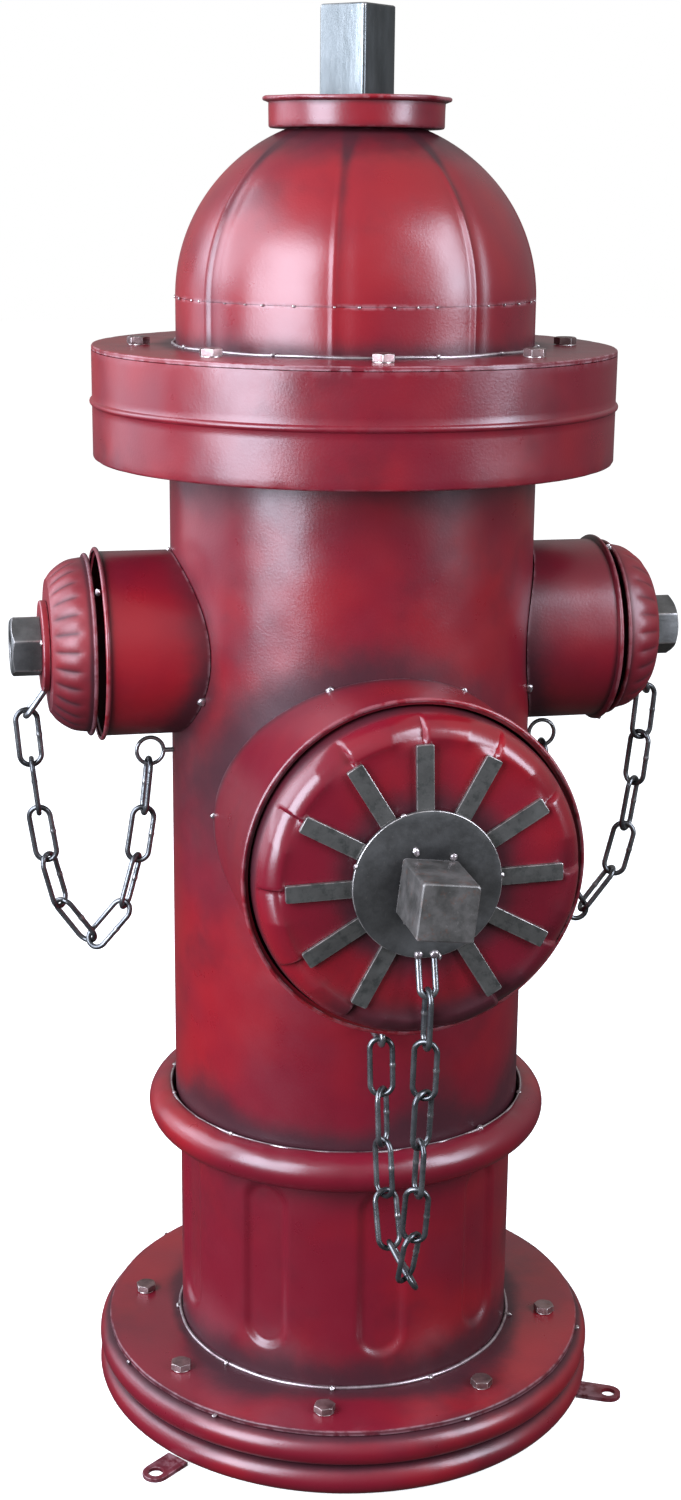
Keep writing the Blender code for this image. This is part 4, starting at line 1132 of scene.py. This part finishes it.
def make_side_cap(side):
    """A pressed cap: a flat face, a ribbed shoulder and a rolled rim."""
    node = f"{side}_cap"
    back, face = SIDE_CAP_BACK, SIDE_CAP_FACE
    start = math.acos(0.0438 / 0.0574)
    shoulder = []
    for i in range(25):
        angle = start * (1 - i / 24)
        rise = (face - back - 0.0026) * math.sin(angle) / math.sin(start)
        shoulder.append((0.0574 * math.cos(angle), back + 0.0026 + rise))
    rim = arc(0.0588, back + 0.0014, 0.0014, 90, -120, 8)
    profile = densify([(0.0, face), (0.036, face), (0.0405, face - 0.0004), *shoulder, *rim], 0.004)

    def shape(angle, r, z):
        share = (z - back) / (face - back)
        where = smoothstep(0.22, 0.50, share) * smoothstep(1.0, 0.85, share)
        lobe = np.abs(np.cos(angle * RIBS / 2))
        return angle, r + where * (0.0010 * lobe - 0.0005), z + 0.0003 * where * lobe

    def soot_and_shade(places):
        height = np.abs(places[:, 0])
        share = (height - back) / (face - back)
        angle = np.arctan2(places[:, 2] - SIDE_Z, places[:, 1])
        groove = 1 - np.abs(np.cos((angle - math.pi / 2) * RIBS / 2))
        ribs = smoothstep(0.30, 0.5, share) * smoothstep(1.02, 0.82, share)
        lower = smoothstep(0.02, -0.06, places[:, 2] - SIDE_Z)
        # A base darkening over the whole cap; the left cap's higher level is painted shade that tones down
        # its highlights, and lower adds painted shade on the cap's underside.
        worn = 0.34 if side == "left" else 0.10
        return worn + 0.5 * groove**2 * ribs + 0.5 * bump(height - back - 0.0035, 0.0016) + 0.3 * lower

    mesh = sheet(revolve(node, profile, RIBS * 14, shape), 0.0012)
    place = Matrix.Translation((0, 0, SIDE_Z)) @ ALONG[side]
    finish(node, moved(mesh, place), side_paint, node, soot_and_shade=soot_and_shade)
    first = 0.4 if side == "left" else 2.0
    gap = (SIDE_REACH + SIDE_CAP_BACK) / 2
    make_tacks(f"{side}_cap_tacks", 3, 0.0603, 0.0026, gap, first, 17 + len(side), place)


def wire_solid(name, points, wire, closed=False, sides=4):
    curve = bpy.data.curves.new(name, "CURVE")
    curve.dimensions = "3D"
    curve.bevel_depth = wire / 2
    curve.bevel_resolution = sides
    curve.use_fill_caps = not closed
    spline = curve.splines.new("POLY")
    spline.points.add(len(points) - 1)
    for point, co in zip(spline.points, points):
        point.co = (*co, 1.0)
    spline.use_cyclic_u = closed
    obj = bpy.data.objects.new(name, curve)
    bpy.context.scene.collection.objects.link(obj)
    bpy.context.view_layer.update()
    graph = bpy.context.evaluated_depsgraph_get()
    mesh = bpy.data.meshes.new_from_object(obj.evaluated_get(graph))
    bpy.data.objects.remove(obj)
    work = bmesh.new()
    work.from_mesh(mesh)
    bmesh.ops.remove_doubles(work, verts=work.verts, dist=0.00001)
    bmesh.ops.recalc_face_normals(work, faces=work.faces)
    work.to_mesh(mesh)
    work.free()
    return mesh


def bent_loop(centre, side, leg, radius=0.005, steps=18):
    """Points of a wire U: a half circle round centre, with two legs."""
    tip = -leg.normalized()
    bend = []
    for i in range(steps + 1):
        angle = math.pi * i / steps
        bend.append(centre + radius * (math.cos(angle) * side + math.sin(angle) * tip))
    return [bend[0] + leg, bend[0] + leg * 0.5, *bend, bend[-1] + leg * 0.5, bend[-1] + leg]


def make_side_fittings(side):
    sign = -1 if side == "left" else 1
    node = f"{side}_cap_washer"
    back = SIDE_CAP_FACE + 0.0003
    front = back + 0.0045
    place = Matrix.Translation((0, 0, SIDE_Z)) @ ALONG[side]
    edge = 0.0009
    profile = [
        (0.0, front),
        *arc(0.030 - edge, front - edge, edge, 90, 0, 4),
        *arc(0.030 - edge, back + edge, edge, 0, -90, 4),
        (0.0, back),
    ]
    disc = moved(revolve(node, densify(profile, 0.004), 96), place)
    middle = back + 0.00225
    top = Vector((sign * middle, 0, SIDE_Z - 0.0285))
    lean = 0.0100 if side == "left" else 0.0050
    centre = Vector((sign * (middle + lean), 0, SIDE_Z - 0.0425))

    def from_axis(places):
        return np.hypot(places[:, 1], places[:, 2] - SIDE_Z)

    finish(node, disc, side_paint, node, soot_and_shade=lambda places: 0.8 * bump(from_axis(places) - 0.019, 0.003))
    loop = wire_solid(f"{side}_cap_loop", bent_loop(centre, Vector((0, 1, 0)), top - centre), 0.004)
    finish(f"{side}_cap_loop", loop, chain_metal)
    nut_back = front + 0.0003
    nut_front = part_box(f"{side}_cap_nut")[1].x if side == "right" else -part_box(f"{side}_cap_nut")[0].x
    nut = hex_solid(f"{side}_cap_nut", 0.036, nut_back, nut_front, 0.5, bore=0.0106)
    out, forward = Vector((sign, 0, 0)), Vector((0, -1, 0))
    third = out.cross(forward)
    frame_way = Matrix((forward, third, out)).transposed().to_4x4()
    turn = Matrix.Rotation(math.radians(-SIDE_NUT[side]), 4, "X")
    lift = Matrix.Translation((0, 0, SIDE_Z))
    corner = Matrix.Rotation(math.pi / 6, 4, "Z")
    finish(
        f"{side}_cap_nut",
        moved(nut, lift @ turn @ frame_way @ corner),
        gunmetal,
        f"{side}_cap_nut",
        flat=True,
        soot_and_shade=lambda places: 0.8 * (from_axis(places) < 0.0108),
    )
    make_tacks(f"{side}_nut_tacks", 2, 0.0195, 0.002, front + 0.0004, 1.2, 23 + len(side), place)


def make_front_cap():
    node = "front_cap"
    face = FRONT_FACE
    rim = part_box(node)[1].x
    skirt = -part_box(node)[1].y
    flat = 0.0865
    shoulder = rim - flat
    drop = 0.021
    profile = [(0.0, face), (0.04, face), (0.078, face)]
    for i in range(19):
        angle = math.pi / 2 * (1 - i / 18)
        profile.append((flat + shoulder * math.cos(angle), face - drop * (1 - math.sin(angle))))
    profile.append((rim, skirt))

    def crimp(angle, r, z):
        """Crimps in the shoulder, one beyond the end of each bar."""
        pitch = math.pi / 6
        first = -math.pi / 2 + math.radians(1.5)
        local = (angle - first + pitch / 2) % pitch - pitch / 2
        across = local * r
        where = smoothstep(0.0845, 0.0885, r) * smoothstep(rim, rim - 0.0040, r)
        fold = np.where(across > 0, np.maximum(1 - across / 0.020, 0), bump(across, 0.0014))
        wave = 0.0006 * np.sin(3 * angle + 0.5) * smoothstep(0.05, 0.09, r) * smoothstep(rim, rim - 0.006, r)
        return angle, r, z + where * (0.0014 - 0.0046 * fold) + wave

    def soot_and_shade(places):
        r = np.hypot(places[:, 0], places[:, 2] - FRONT_Z)
        angle = np.arctan2(places[:, 2] - FRONT_Z, places[:, 0])
        low_right = 0.5 + 0.5 * np.cos(angle + 0.9)
        return (
            0.85 * bump(np.maximum(r - 0.046, 0), 0.015)
            + 0.45 * low_right * bump(r - 0.088, 0.010)
            + 0.8 * smoothstep(rim - 0.0022, rim, r)
            + 0.75 * smoothstep(-0.045, -0.098, places[:, 2] - FRONT_Z)
        )

    mesh = sheet(revolve(node, densify(profile, 0.0050), 540, crimp), 0.0012)
    place = Matrix.Translation((0, 0, FRONT_Z)) @ ALONG["front"]
    finish(node, moved(mesh, place), cap_paint, node, soot_and_shade=soot_and_shade)


def make_front_fittings():
    place = Matrix.Translation((0, 0, FRONT_Z)) @ ALONG["front"]
    back = FRONT_FACE + 0.0003
    outline = []
    near, far, half = 0.030, 0.0853, 0.00535
    for x, y, turn in ((far, -half, -90), (far, half, 0), (near, half, 90), (near, -half, 180)):
        corner = 0.0011
        cx, cy = x - math.copysign(corner, x - 0.05), y - math.copysign(corner, y)
        for step in range(4):
            angle = math.radians(turn + 30 * step)
            outline.append((cx + corner * math.cos(angle), cy + corner * math.sin(angle)))
    work = bmesh.new()
    face = work.faces.new([work.verts.new((x, y, back)) for x, y in outline])
    solid = bmesh.ops.extrude_face_region(work, geom=[face])
    for item in solid["geom"]:
        if isinstance(item, bmesh.types.BMVert):
            item.co.z += 0.003
    bmesh.ops.recalc_face_normals(work, faces=work.faces)
    bar_mesh = bpy.data.meshes.new("bar")
    work.to_mesh(bar_mesh)
    work.free()
    bar = bpy.data.objects.new("bar pattern", softened(bar_mesh, 0.0004, 2))
    mesh = run_tree(
        rings,
        Piece=bar,
        Count=11,
        First_Angle=-math.pi / 2 + math.radians(31.5),
        Spacing=math.pi / 6,
        Radius=0.0,
    )
    bpy.data.objects.remove(bar)

    def bar_soot(places):
        return 0.7 * bump(np.hypot(places[:, 0], places[:, 2] - FRONT_Z) - 0.046, 0.008)

    name = "front_cap_bars"
    finish(name, moved(mesh, place), bar_metal, name, soot_and_shade=bar_soot, flat=True)

    low = back + 0.0033
    high = low + 0.003
    edge = 0.0006
    profile = [
        (0.0, high),
        *arc(0.046 - edge, high - edge, edge, 90, 0, 3),
        *arc(0.046 - edge, low + edge, edge, 0, -90, 3),
        (0.0, low),
    ]

    def disc_soot(places):
        return 0.8 * bump(np.maximum(np.hypot(places[:, 0], places[:, 2] - FRONT_Z) - 0.02, 0), 0.008)

    disc = revolve("front_hub_disc", densify(profile, 0.004), 160)
    name = "front_hub_disc"
    finish(name, moved(disc, place), gunmetal, name, soot_and_shade=disc_soot)
    centre = Vector((0, -(low + 0.0015) - 0.0065, FRONT_Z - 0.0634))
    top = Vector((0, -(low + 0.0015), FRONT_Z - 0.043))
    loop = wire_solid("front_hub_loop", bent_loop(centre, Vector((1, 0, 0)), top - centre), 0.004)
    finish("front_hub_loop", loop, chain_metal)
    box_low, box_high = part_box("front_cap_nut")
    nut = square_tube("front_cap_nut", box_high.y - box_low.y)
    middle = (box_low.z + box_high.z) / 2
    turn = Matrix.Rotation(math.radians(6.5), 4, "Y")
    stand = Matrix.Translation((0, box_high.y, middle)) @ turn @ ALONG["front"]
    finish("front_cap_nut", moved(nut, stand), cube_metal, "front_cap_nut", flat=True)
    hub = Matrix.Translation((0, 0, middle)) @ turn @ ALONG["front"]
    make_tacks("front_nut_tacks", 4, 0.0238, 0.0019, high + 0.0004, math.pi / 4, 4, hub)
    make_tacks("hub_rim_tacks", 4, 0.0462, 0.0017, high - 0.0006, math.pi / 2, 26, place)
    legs = joined([bead(Vector((x, -high - 0.0004, FRONT_Z - 0.0437)), 0.0025, x) for x in (-0.005, 0.005)])
    finish("hub_loop_welds", legs, weld_metal)


def bead(centre, size, seed):
    """One lumpy bead of weld."""
    work = bmesh.new()
    bmesh.ops.create_icosphere(work, subdivisions=3, radius=size)
    for vertex in work.verts:
        lump = noise.noise(vertex.co * 380 + Vector((seed * 911, 0, 0)))
        vertex.co *= 1 + 0.35 * lump
        vertex.co.y *= 0.7
        vertex.co += centre
    mesh = bpy.data.meshes.new("bead")
    work.to_mesh(mesh)
    work.free()
    return mesh


def make_saddle_welds():
    """Short beads where the outlets are tacked to the barrel."""
    beads = []
    for sign in (-1, 1):
        for turn, size in ((-28, 0.0031), (96, 0.0018)):
            angle = math.radians(turn)
            lateral, rise = SIDE_TUBE_R * math.cos(angle), SIDE_TUBE_R * math.sin(angle)
            out = math.sqrt(BARREL_R**2 - lateral**2)
            beads.append(bead(Vector((sign * (out + 0.001), -lateral, SIDE_Z + rise)), size, sign * turn))
    for turn, size in ((112, 0.0026), (178, 0.0020), (62, 0.0018)):
        angle = math.radians(turn)
        lateral, rise = FRONT_TUBE_R * math.cos(angle), FRONT_TUBE_R * math.sin(angle)
        out = math.sqrt(BARREL_R**2 - lateral**2)
        beads.append(bead(Vector((lateral, -out - 0.0012, FRONT_Z + rise)), size, turn))
    finish("outlet_welds", joined(beads), weld_metal)


# ---------------------------------------------------------------- rings, staple and chains


def make_eyes():
    for side, sign in (("left", -1), ("right", 1)):
        node = f"{side}_eye_ring"
        low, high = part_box(node)
        z = (low.z + high.z) / 2
        reach = max(abs(low.x), abs(high.x))
        centre = Vector((sign * (reach - 0.0014 - 0.0091), 0, z))
        ring = []
        for i in range(48):
            angle = 2 * math.pi * i / 48
            ring.append(centre + 0.0091 * Vector((math.cos(angle), 0, math.sin(angle))))
        stub_end = Vector((sign * (BARREL_R + 0.0003), 0, z))
        stub_tip = centre - Vector((sign * 0.0086, 0, 0))
        parts = [wire_solid(node, ring, 0.0028, True), wire_solid(node, [stub_end, stub_tip], 0.0034)]
        finish(node, joined(parts), chain_metal, node)


def make_staple():
    low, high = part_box("front_staple")
    z, x = (low.z + high.z) / 2, (low.x + high.x) / 2
    centre = Vector((x, low.y + 0.007, z))
    leg = Vector((0, high.y - centre.y, 0))
    mesh = wire_solid("front_staple", bent_loop(centre, Vector((0, 0, 1)), leg), 0.004)
    finish("front_staple", mesh, chain_metal, "front_staple")
    welds = joined([bead(Vector((x, high.y - 0.0006, z + dz)), 0.0026, dz) for dz in (-0.005, 0.005)])
    finish("staple_welds", welds, weld_metal)


def link_place(node):
    """Where a link lies: its long way, its width and its flat side, read from its solid."""
    places = vertex_array(frame["nodes"][node].data)
    centre = places.mean(0)
    _, ways = np.linalg.eigh(np.cov((places - centre).T))
    along, across = Vector(ways[:, 2]), Vector(ways[:, 1])
    if along.z < 0:
        along = -along
    if across.x + 0.3 * across.y < 0:
        across = -across
    normal = along.cross(across)
    matrix = Matrix((across, normal, along)).transposed().to_4x4()
    return Matrix.Translation(centre) @ matrix


def make_chains():
    for body in frame["bodies"]:
        if "_link_" not in body:
            continue
        mesh = run_tree(link_shape, Length=LINK_LENGTH, Width=LINK_WIDTH, Wire=WIRE_LINK)
        places = vertex_array(mesh)
        half = (LINK_LENGTH - LINK_WIDTH) / 2

        def soot_and_shade(places, inverse=link_place(body).inverted()):
            local = places @ np.array(inverse)[:3, :3].T + np.array(inverse)[:3, 3]
            return 0.6 * smoothstep(half, half + 0.004, np.abs(local[:, 2]))

        obj = finish(body, moved(mesh, link_place(body)), chain_metal, body, soot_and_shade, body)
        weld = obj.data.attributes["bare"]
        nick = 0.45 * bump(places[:, 2] - 0.001, 0.0011) * (places[:, 0] > 0)
        weld.data.foreach_set("value", np.clip(nick, 0, 1).astype(np.float32))


# ---------------------------------------------------------------- stage, light and camera


def area_light(name, angle, distance, height, width, tall, power, colour, aim=0.5):
    data = bpy.data.lights.new(name, "AREA")
    data.shape = "RECTANGLE"
    data.size, data.size_y = width, tall
    data.energy = power
    data.color = colour
    light = bpy.data.objects.new(name, data)
    bpy.context.scene.collection.objects.link(light)
    light.location = (distance * math.cos(angle), distance * math.sin(angle), height)
    way = Vector((0, 0, aim)) - light.location
    light.rotation_euler = way.to_track_quat("-Z", "Y").to_euler()


def make_stage():
    bpy.ops.mesh.primitive_plane_add(size=24)
    floor = bpy.context.object
    floor.name = "studio_floor"
    floor.data.materials.append(pale_floor())
    floor.location.z = -0.0002
    floor.visible_diffuse = False
    floor.visible_glossy = False
    world = bpy.data.worlds.new("studio")
    bpy.context.scene.world = world
    world.use_nodes = True
    tree = world.node_tree
    background = tree.nodes["Background"]
    background.inputs["Color"].default_value = (1.0, 1.0, 1.0, 1.0)
    way = tree.nodes.new("ShaderNodeTexCoord")
    split = tree.nodes.new("ShaderNodeSeparateXYZ")
    tree.links.new(way.outputs["Generated"], split.inputs[0])
    room = tree.nodes.new("ShaderNodeMapRange")
    room.interpolation_type = "SMOOTHSTEP"
    for key, value in (("From Min", -0.45), ("From Max", 0.6), ("To Min", 0.06), ("To Max", 0.44)):
        room.inputs[key].default_value = value
    tree.links.new(split.outputs["Z"], room.inputs["Value"])
    ray = tree.nodes.new("ShaderNodeLightPath")
    level = tree.nodes.new("ShaderNodeMapRange")
    level.inputs["To Max"].default_value = 1.0
    tree.links.new(ray.outputs["Is Camera Ray"], level.inputs["Value"])
    tree.links.new(room.outputs[0], level.inputs["To Min"])
    tree.links.new(level.outputs[0], background.inputs["Strength"])
    bpy.context.scene.view_settings.view_transform = "Standard"
    view = math.radians(-102.7)
    cool = (0.75, 0.84, 1.0)
    area_light("left softbox", view - math.radians(45), 1.9, 1.08, 1.20, 1.8, 100, cool)
    area_light("high side light", view - math.radians(94), 2.0, 1.75, 1.7, 1.7, 46, cool, aim=0.8)
    area_light("left wall", view - math.radians(104), 2.4, 0.95, 2.0, 1.8, 22, cool)
    area_light("right softbox", view + math.radians(61), 2.0, 1.46, 0.85, 1.8, 64, cool)


def make_camera():
    """Level with the hydrant's upper half, a little to its left, looking down at it."""
    data = bpy.data.cameras.new("camera")
    data.sensor_fit = "VERTICAL"
    data.sensor_height = 36.0
    data.lens = 50.68
    camera = bpy.data.objects.new("camera", data)
    bpy.context.scene.collection.objects.link(camera)
    stand, distance, height = math.radians(12.733), 1.3999, 0.8418
    heading, dip, roll = math.radians(12.479), math.radians(15.011), math.radians(0.5865)
    place = Vector((-math.sin(stand) * distance, -math.cos(stand) * distance, height))
    forward = Vector(
        (math.sin(heading) * math.cos(dip), math.cos(heading) * math.cos(dip), -math.sin(dip))
    )
    level = Vector((math.cos(heading), -math.sin(heading), 0))
    upright = level.cross(forward)
    right = math.cos(roll) * level + math.sin(roll) * upright
    up = -math.sin(roll) * level + math.cos(roll) * upright
    turn = Matrix((right, up, -forward)).transposed().to_4x4()
    camera.matrix_world = Matrix.Translation(place) @ turn
    bpy.context.scene.camera = camera


# ---------------------------------------------------------------- the whole hydrant

rings = ring_tree(bolt_metal)
tacks = tack_tree(weld_metal)
link_shape = link_tree(chain_metal)
fluted = pedestal_tree(paint)

make_base()
make_bolts("base_bolts", 0.1471, FRONT_ANGLE + math.radians(-17.3), PLATE_TOP)
make_wire_ring("pedestal_foot_wire", PEDESTAL_R + 0.0020, 0.0012, PLATE_TOP + 0.0008, 35, 0.0004)
make_tacks("pedestal_foot_tacks", 9, PEDESTAL_R + 0.0034, 0.0020, PLATE_TOP + 0.0010, 0.2, 5)
make_tacks("base_plate_tacks", 7, PLATE_R + 0.0006, 0.0016, PLATE_Z + 0.0012, 0.6, 6)
make_tabs()
make_pedestal()
make_collar()
make_barrel()
make_flange()
make_bolts("flange_bolts", 0.1403, FRONT_ANGLE + math.radians(-5.6), FLANGE_TOP)
make_dome()
make_crown()
for side in ("left", "right"):
    make_outlet(f"{side}_outlet", SIDE_TUBE_R, SIDE_REACH, side, SIDE_Z, side_soot_and_shade)
    make_side_cap(side)
    make_side_fittings(side)
make_outlet("front_outlet", FRONT_TUBE_R, FRONT_REACH, "front", FRONT_Z, front_soot)
make_front_cap()
make_front_fittings()
make_saddle_welds()
make_eyes()
make_staple()
make_chains()
make_stage()
make_camera()
